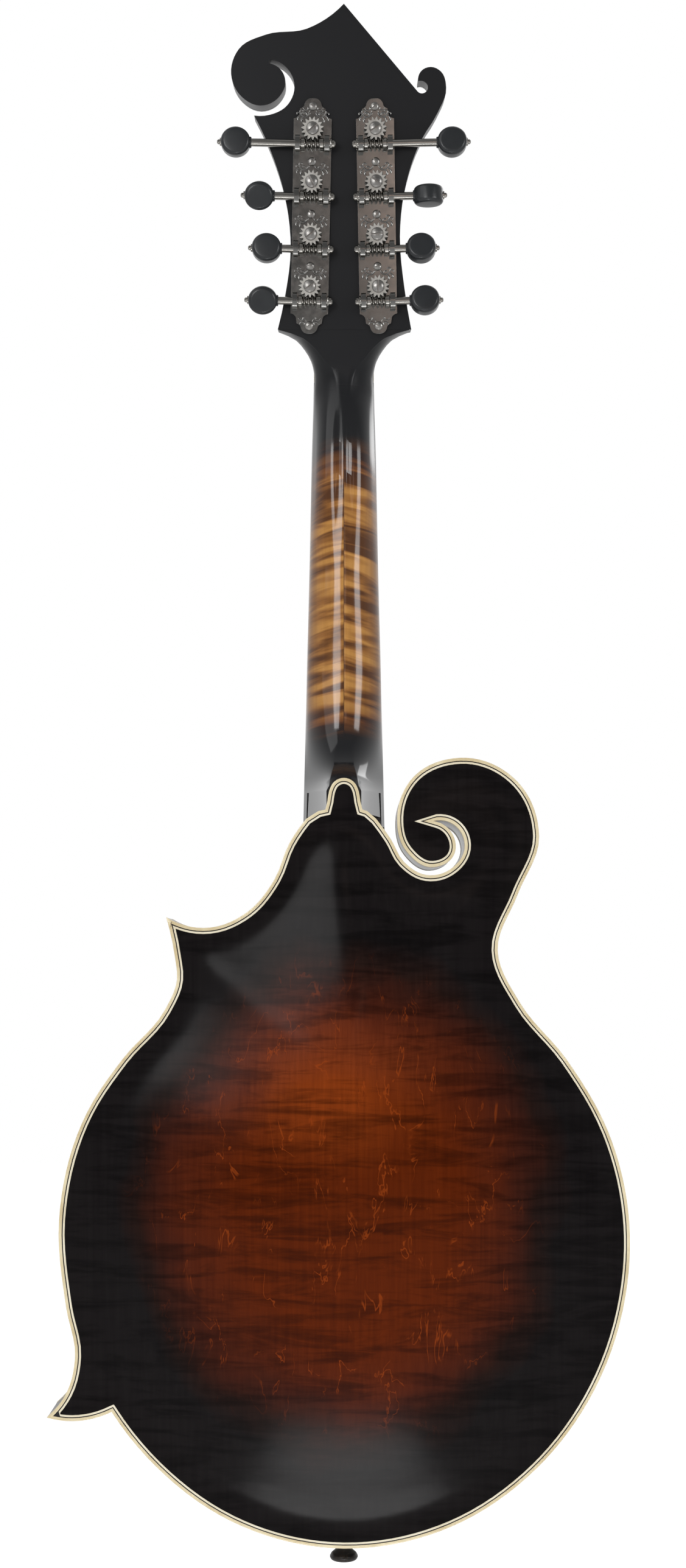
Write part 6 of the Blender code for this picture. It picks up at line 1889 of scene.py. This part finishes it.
# %% Carve the bridge
NUT_SLOT_CLEARANCE = 0.00015
STRING_RISE_PER_LENGTH = 0.0055
COURSES = (("e", 0.00028), ("a", 0.00038), ("d", 0.00061), ("g", 0.00100))
SPACINGS = {"nut": (0.0072, 0.0023), "saddle": (0.0122, 0.0030), "hook": (0.0096, 0.0036)}
BRIDGE_WIDTH = 0.012
BRIDGE_BASE_LENGTH = 0.112
BRIDGE_BASE_HEIGHT = 0.0055
BRIDGE_TIP_HEIGHT = 0.0026
WHEEL_CLEARANCE = 0.0019
STUD_SPACING = 0.060
STUD_RADIUS = 0.0018
STUD_BORE_RADIUS = 0.0022
WHEEL_RADIUS = 0.0080
WHEEL_THICKNESS = 0.0024
SADDLE_THICKNESS = 0.0062
SADDLE_TOP_THICKNESS = 0.0030
SADDLE_LENGTH = 0.078
SADDLE_TOP_LENGTH = 0.054
SADDLE_SHOULDER = 0.0042
SADDLE_BORE_DEPTH = 0.0036
STUD_FREE_LENGTH = 0.0021
BASE_HALF_STEPS = 28
BASE_TAPER = 0.25


def string_table():
    """Return each string's name, diameter and its x at the nut, the saddle and the tailpiece."""
    rows = []
    for i, (course, diameter) in enumerate(COURSES):
        for pair, number in ((-0.5, 1), (0.5, 2)):
            row = {"name": f"string_{course}{number}", "diameter": diameter}
            for spot, (between_courses, between_strings) in SPACINGS.items():
                row[spot] = (i - 1.5) * between_courses + pair * between_strings
            rows.append(row)
    return rows


slot_height = FINGERBOARD_THICKNESS + FRET_HEIGHT + NUT_SLOT_CLEARANCE
string_rise = slot_height + FRET_HEIGHT + STRING_RISE_PER_LENGTH * SCALE_LENGTH
crown_point = BODY_FRAME.inverted() @ (NECK_FRAME @ Vector((0, -SCALE_LENGTH, -string_rise)))
seat = crown_point.y
crown = -crown_point.z


def foot_height(x):
    """Return how high the bridge's foot stands over the rim plane at a place across the top."""
    around = [(x, seat + BRIDGE_WIDTH * step / 2) for step in (-1, 0, 1)]
    return max(arching(p, d, TOP_ARCH) for p, d in zip(around, edge_distances(around, top_line))) + CLEARANCE


def base_height(share):
    """Return the base's height over its foot at a share of its half length."""
    return BRIDGE_TIP_HEIGHT + (BRIDGE_BASE_HEIGHT - BRIDGE_TIP_HEIGHT) * ease(1.25 - abs(share))


sections = []
for i in range(2 * BASE_HALF_STEPS + 1):
    share = i / BASE_HALF_STEPS - 1
    x = share * BRIDGE_BASE_LENGTH / 2
    bottom = foot_height(x)
    height = base_height(share)
    half = BRIDGE_WIDTH / 2 * (1 - BASE_TAPER * abs(share) ** 3)
    shape = ((-1, 0), (1, 0), (1, 0.30), (0.86, 0.80), (0.66, 1), (-0.66, 1), (-0.86, 0.80), (-1, 0.30))
    sections.append([(x, seat + half * across, -bottom - height * up) for across, up in shape])
bridge_base = loft("base", sections)
deck = foot_height(0) + BRIDGE_BASE_HEIGHT
saddle_foot = deck + WHEEL_CLEARANCE + WHEEL_THICKNESS + CLEARANCE
stud_top = saddle_foot + SADDLE_BORE_DEPTH - STUD_FREE_LENGTH
add_piece("bridge_foot", bridge_base, ebony, where=BODY_FRAME, stands_for="bridge_base", sharp=28)
print("saddle stands", round((crown - saddle_foot) * 1000, 1), "mm tall on its wheels")

# %% Thread the studs and knurl the wheels
THREAD_STEP = 0.0005
THREAD_DEPTH = 0.0002
KNURL_FACETS = 144
KNURL_DEPTH = 0.00028

stud_profile = [(0, -stud_top), (STUD_RADIUS * 0.7, -stud_top)]
steps = round((stud_top - saddle_foot + WHEEL_CLEARANCE + WHEEL_THICKNESS + 0.002) / THREAD_STEP)
for i in range(steps):
    height = -stud_top + 0.0003 + THREAD_STEP * i
    stud_profile += [(STUD_RADIUS - THREAD_DEPTH, height), (STUD_RADIUS, height + THREAD_STEP / 2)]
stud_profile.append((0, stud_profile[-1][1]))
stud = turned("stud", stud_profile, 32)
studs = [(stud, at(side * STUD_SPACING / 2, seat, 0)) for side in (-1, 1)]
add_piece("bridge_studs", joined("studs", studs), nickel, where=BODY_FRAME, stands_for="bridge_base")

knurl = []
for i in range(KNURL_FACETS):
    angle = math.tau * i / KNURL_FACETS
    radius = WHEEL_RADIUS - (KNURL_DEPTH if i % 3 == 0 else 0)
    knurl.append(Vector((radius * math.cos(angle), radius * math.sin(angle))))
half = WHEEL_THICKNESS / 2
wheel = eased(slab("wheel", [knurl, circle(0, 0, STUD_BORE_RADIUS, 32)], -half, half), 0.0002, 2, 50)
for side, hand in SIDES:
    place = BODY_FRAME @ at(side * STUD_SPACING / 2, seat, CLEARANCE - saddle_foot + half)
    node = f"bridge_wheel_{hand}"
    add_piece(node + "_knurled", wheel, nickel, f"wheel_{hand}", place, node)
print("studs have", steps, "threads")

# %% Shape the saddle
SADDLE_STEPS = (-0.0005, 0.0004, -0.0002, 0.0007)
SADDLE_CREST_HALF = 0.0005
SADDLE_CREST_DROP = 0.0010
SADDLE_END_HEIGHT = 0.0012
SADDLE_HALF_STEPS = 65


def saddle_profile(x, top):
    """Return a cross-section of the saddle at a place along it, its crest moved for the course there."""
    course = min(max(round(x / SPACINGS["saddle"][0] + 1.5), 0), 3)
    shift = SADDLE_STEPS[course] if abs(x) < SADDLE_TOP_LENGTH / 2 else 0.0
    half = SADDLE_THICKNESS / 2
    crest = SADDLE_TOP_THICKNESS / 2
    points = ((-half, saddle_foot), (half, saddle_foot), (half, saddle_foot + SADDLE_SHOULDER))
    points += ((crest, top - SADDLE_CREST_DROP), (shift + SADDLE_CREST_HALF, top))
    points += ((shift - SADDLE_CREST_HALF, top), (-crest, top - SADDLE_CREST_DROP))
    points += ((-half, saddle_foot + SADDLE_SHOULDER),)
    return [(x, seat + along, -height) for along, height in points]


sections = []
long_half = SADDLE_LENGTH / 2
top_half = SADDLE_TOP_LENGTH / 2
for i in range(2 * SADDLE_HALF_STEPS + 1):
    x = long_half * (i / SADDLE_HALF_STEPS - 1)
    slope = ease((long_half - abs(x)) / (long_half - top_half))
    end_top = saddle_foot + SADDLE_SHOULDER + SADDLE_END_HEIGHT
    top = end_top + (crown - end_top) * slope
    sections.append(saddle_profile(x, top))
tools = []
for row in string_table():
    ends = [(row["saddle"], seat + y, -crown - 0.00025) for y in (-0.008, 0.008)]
    tools.append(tube("notch", ends, row["diameter"] * 0.6 + 0.0003, 2))
for side in (-1, 1):
    round_bore = circle(side * STUD_SPACING / 2, seat, STUD_BORE_RADIUS, 24)
    tools.append(slab("bore", [round_bore], -saddle_foot - SADDLE_BORE_DEPTH, 0))
saddle = cut(loft("saddle", sections), tools)
add_piece("saddle_carved", saddle, ebony, "saddle", BODY_FRAME, "bridge_saddle", 28)
print("saddle has", len(saddle.polygons), "faces")

# %% [markdown]
# ## Tailpiece and end pin
# A nickel strap is bent over the tail, held by the end pin, and cut to eight hooks for the string loops.
# A stamped cover slides over it. The cover is a skin over a few arched sections, with a wall inside it.
# The pin is a turned ebony knob that takes the strap.

# %% Bend the tailpiece
STRAP_WIDTH = 0.044
STRAP_THICKNESS = 0.0012
STRAP_LENGTH = 0.046
STRAP_SLOPE = 11.5
STRAP_LIFT = 0.0030
STRAP_CORNER = 0.004
HOOK_LENGTH = 0.005
HOOK_WIDTH = 0.0018
FLANGE_WIDTH = 0.034
FLANGE_DROP = 0.027
PIN_SHANK_RADIUS = 0.0034

strap_frame = at(0, -CLEARANCE, -STRAP_LIFT) @ turn_by(-STRAP_SLOPE, "X")
half = STRAP_WIDTH / 2
strap_loop = [(-half, -STRAP_THICKNESS), (half, -STRAP_THICKNESS), (half, STRAP_LENGTH - STRAP_CORNER)]
strap_loop.append((half - STRAP_CORNER, STRAP_LENGTH))
for row in reversed(string_table()):
    for step, reach in ((1, 0), (1, 0.75), (0.6, 1), (-0.6, 1), (-1, 0.75), (-1, 0)):
        strap_loop.append((row["hook"] + step * HOOK_WIDTH / 2, STRAP_LENGTH + reach * HOOK_LENGTH))
strap_loop += [(-half + STRAP_CORNER, STRAP_LENGTH), (-half, STRAP_LENGTH - STRAP_CORNER)]
strap = eased(slab("strap", [[Vector(p) for p in strap_loop]], -STRAP_THICKNESS, 0), 0.0002)
strap.transform(strap_frame)
half = FLANGE_WIDTH / 2
flange_knots = (
    (-half, STRAP_LIFT + 0.0006, "corner"),
    (-half * 0.94, -0.006),
    (-half * 0.62, -0.017),
    (-half * 0.40, -FLANGE_DROP),
    (0, -FLANGE_DROP - 0.0006),
    (half * 0.40, -FLANGE_DROP),
    (half * 0.62, -0.017),
    (half * 0.94, -0.006),
    (half, STRAP_LIFT + 0.0006, "corner"),
)
pin_hole = circle(0, -BODY_DEPTH / 2, PIN_SHANK_RADIUS + CLEARANCE, 32)
flange = slab("flange", [smooth_loop(flange_knots), pin_hole], -STRAP_THICKNESS - CLEARANCE, -CLEARANCE)
flange = eased(flange, 0.0002)
flange.transform(turn_by(-90, "X"))
tailpiece = joined("tailpiece", [strap, flange])
add_piece("tailpiece_strap", tailpiece, nickel, where=BODY_FRAME, stands_for="tailpiece_base")
print("strap has", len(tailpiece.polygons), "faces")

# %% Stamp the cover
COVER_WALL = 0.0010
COVER_LENGTH = 0.078
COVER_CROWN = 0.0090
COVER_STEP = 0.003
COVER_FLOOR_SLOPE = 0.93
COVER_OVERLAP = 0.0012


def cover_section(station, lift, shrink):
    """Return an arched section of the cover at a station up from the tail."""
    half = STRAP_WIDTH / 2 + CLEARANCE + COVER_WALL - shrink
    slope = math.tan(math.radians(STRAP_SLOPE))
    floor = STRAP_LIFT + max(station, 0) * slope * COVER_FLOOR_SLOPE - COVER_OVERLAP
    top = floor + lift + COVER_CROWN - shrink
    shape = smooth_path(((1, 0), (1, 0.52), (0.86, 0.80), (0.5, 0.95), (0, 1)), 6)
    points = [(half * x, floor + (top - floor) * z) for x, z, _ in shape]
    if shrink:
        points[0] = (half, floor - 0.004)
    return [Vector((x, station, -z)) for x, z in mirrored(points)]


tail = -CLEARANCE * 2 - STRAP_THICKNESS - COVER_WALL
stations = [
    (tail, -0.004),
    (tail + 0.0012, -0.0015),
    (tail + 0.004, 0),
    (0.030, 0.0),
    (COVER_LENGTH + tail, -0.0025),
]
outer = smooth_sections([cover_section(y, lift, 0) for y, lift in stations], COVER_STEP)
hollow = [(tail + COVER_WALL, -0.004), (tail + COVER_WALL + 0.0012, -0.0015)] + stations[2:]
hollow[-1] = (COVER_LENGTH + tail + 0.002, -0.0025)
inner = smooth_sections([cover_section(y, lift, COVER_WALL) for y, lift in hollow], COVER_STEP)
shell = cut(loft("cover", outer), [loft("hollow", inner)])
add_piece("tailpiece_shell", shell, nickel, "cover", BODY_FRAME, "tailpiece_cover", 30)
print("cover has", len(shell.polygons), "faces")

# %% Turn the end pin
PIN_RADIUS = 0.0064
PIN_WAIST_RADIUS = 0.0037
PIN_REACH = 0.0104
PIN_SHANK_LENGTH = 0.014

pin_start = CLEARANCE * 2 + STRAP_THICKNESS
pin_curve = smooth_path(
    (
        (PIN_RADIUS * 0.62, PIN_REACH, 0),
        (PIN_RADIUS * 0.90, PIN_REACH - 0.0007, 0),
        (PIN_RADIUS, PIN_REACH - 0.0020, 0),
        (PIN_RADIUS * 0.92, PIN_REACH - 0.0034, 0),
        (PIN_WAIST_RADIUS, PIN_REACH - 0.0058, 0),
        (PIN_WAIST_RADIUS + 0.0008, pin_start, 0),
    ),
    6,
)
pin_profile = [(0, PIN_REACH)] + [(x, y) for x, y, _ in pin_curve]
pin_profile.append((PIN_SHANK_RADIUS, pin_start))
pin_profile += [(PIN_SHANK_RADIUS * 0.9, -PIN_SHANK_LENGTH), (0, -PIN_SHANK_LENGTH)]
pin = turned("pin", pin_profile, 56)
pin_frame = BODY_FRAME @ at(0, 0, BODY_DEPTH / 2) @ turn_by(90, "X")
add_piece("end_pin_turned", pin, ebony, where=pin_frame, stands_for="end_pin")
print("pin has", len(pin.polygons), "faces")

# %% [markdown]
# ## Strings
# Each string loops over a hook, bends over the saddle and the nut, and winds down its post.
# The two low courses are steel wound with bronze. Between hook, saddle and nut a string bends when the
# saddle rises, so those two lengths are pieces of their own, drawn straight where they lie
# and carried by no body.

# %% String the instrument
WINDING_TURNS = 2.5
WINDING_FACETS = 24
WINDING_SPACE = 0.00045
WINDING_START = 0.0029
SPAN_STEPS = 24
LOOP_RADIUS = 0.0011
LOOP_DROP = 0.0013
LOOP_FACETS = 12
LOOP_WIRE_RADIUS = 0.0003
THICKEST_PLAIN = 0.0005


def string_route(row, index):
    """Return a string's hook, its saddle point, its two nut points and the points round its post."""
    radius = row["diameter"] / 2
    hook = strap_frame @ Vector((row["hook"], STRAP_LENGTH + 0.001, -STRAP_THICKNESS))
    hook.z -= CLEARANCE + radius
    saddle_spot = Vector((row["saddle"], seat, -crown - CLEARANCE - radius))
    nut_height = slot_height + CLEARANCE + radius
    nut_foot = NECK_FRAME @ Vector((row["nut"], 0.0002, -nut_height))
    nut_head = NECK_FRAME @ Vector((row["nut"], NUT_LENGTH - 0.0002, -nut_height))
    side = -1 if index < 4 else 1
    machine = index if index < 4 else 7 - index
    post = post_places(side)[machine]
    ring = POST_WAIST_RADIUS + CLEARANCE + radius
    reach = post - (HEAD_FRAME.inverted() @ nut_head).xy
    start = math.atan2(reach.y, reach.x) + side * (math.asin(ring / reach.length) + math.pi / 2)
    low = -CLEARANCE - OVERLAY_THICKNESS - WINDING_START - radius
    step = row["diameter"] + WINDING_SPACE
    coil = []
    count = round(WINDING_TURNS * WINDING_FACETS)
    for i in range(count + 1):
        angle = start - side * math.tau * i / WINDING_FACETS
        spot = post + Vector((math.cos(angle), math.sin(angle))) * ring
        coil.append(HEAD_FRAME @ Vector((*spot, low - step * i / WINDING_FACETS)))
    return BODY_FRAME @ hook, BODY_FRAME @ saddle_spot, nut_foot, nut_head, coil


def straight(start, end, count):
    """Return evenly spaced points between two ends."""
    return [start.lerp(end, i / count) for i in range(count + 1)]


for index, row in enumerate(string_table()):
    hook, saddle_spot, nut_foot, nut_head, coil = string_route(row, index)
    radius = row["diameter"] / 2
    wire = bronze if row["diameter"] > THICKEST_PLAIN else steel
    name = row["name"]
    lengths = (
        (f"{name}_behind", hook, saddle_spot, "frame", "saddle"),
        (f"{name}_sounding", saddle_spot, nut_foot, "saddle", "frame"),
    )
    for part, start, end, first, last in lengths:
        mesh = tube(part, straight(start, end, SPAN_STEPS), radius, 2)
        piece = add_piece(part, mesh, wire, None, WORLD, name, 60)
        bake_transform(piece)
    wound = tube(f"{name}_wound", [nut_foot, nut_head] + coil, radius, 2)
    add_piece(f"{name}_wound", wound, wire, "frame", WORLD, name, 60)
    turn = []
    for i in range(LOOP_FACETS):
        angle = math.tau * i / LOOP_FACETS
        spot = (LOOP_RADIUS * math.cos(angle), 0, LOOP_RADIUS * math.sin(angle) - LOOP_DROP)
        turn.append(hook + Vector(spot))
    loop_mesh = tube(f"{name}_loop", turn, min(radius, LOOP_WIRE_RADIUS), 2, cyclic=True)
    add_piece(f"{name}_loop", loop_mesh, steel, "frame", WORLD, name, 60)
print("strings:", [row["name"] for row in string_table()])

# %% [markdown]
# ## Inside the body
# Blocks, linings, tone bars and the truss rod are never polished, and are only seen through an f-hole.
# Their solids keep their shapes here. They need bare maple, bare spruce and steel, and the bars and the rod
# a softened edge.

# %% Dress the inner wood
def raw_wood(name, slot, light, dark, grain, roughness):
    """Return bare wood with its fibres along the longest stretch of its grain."""
    finish = Finish(name, slot, roughness, 0.0, 0.3)
    fibres = finish.noise(grain, detail=4.0, roughness=0.6)
    finish.color(finish.ramp(fibres, (0.32, dark), (0.66, light)))
    finish.bump(fibres, 0.15, 0.0003)
    return finish.material


raw_maple = raw_wood(
    "bare_maple", "raw_maple", (0.66, 0.48, 0.28), (0.50, 0.33, 0.17), (160, 160, 14), 0.6
)
raw_spruce = raw_wood(
    "bare_spruce", "raw_spruce", (0.78, 0.60, 0.37), (0.58, 0.40, 0.21), (420, 420, 8), 0.65
)
dress(raw_maple, "head_block", "tail_block", "upper_point_block", "lower_point_block")
dress(raw_spruce, "back_lining", "top_lining")
dress(raw_spruce, "tone_bar_bass", "tone_bar_treble", ease_width=0.0008)
dress(steel, "truss_rod", ease_width=0.0003)
replaced = [name for name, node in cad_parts.items() if not node.data.materials]
print("solids that finer pieces replace:", len(replaced))
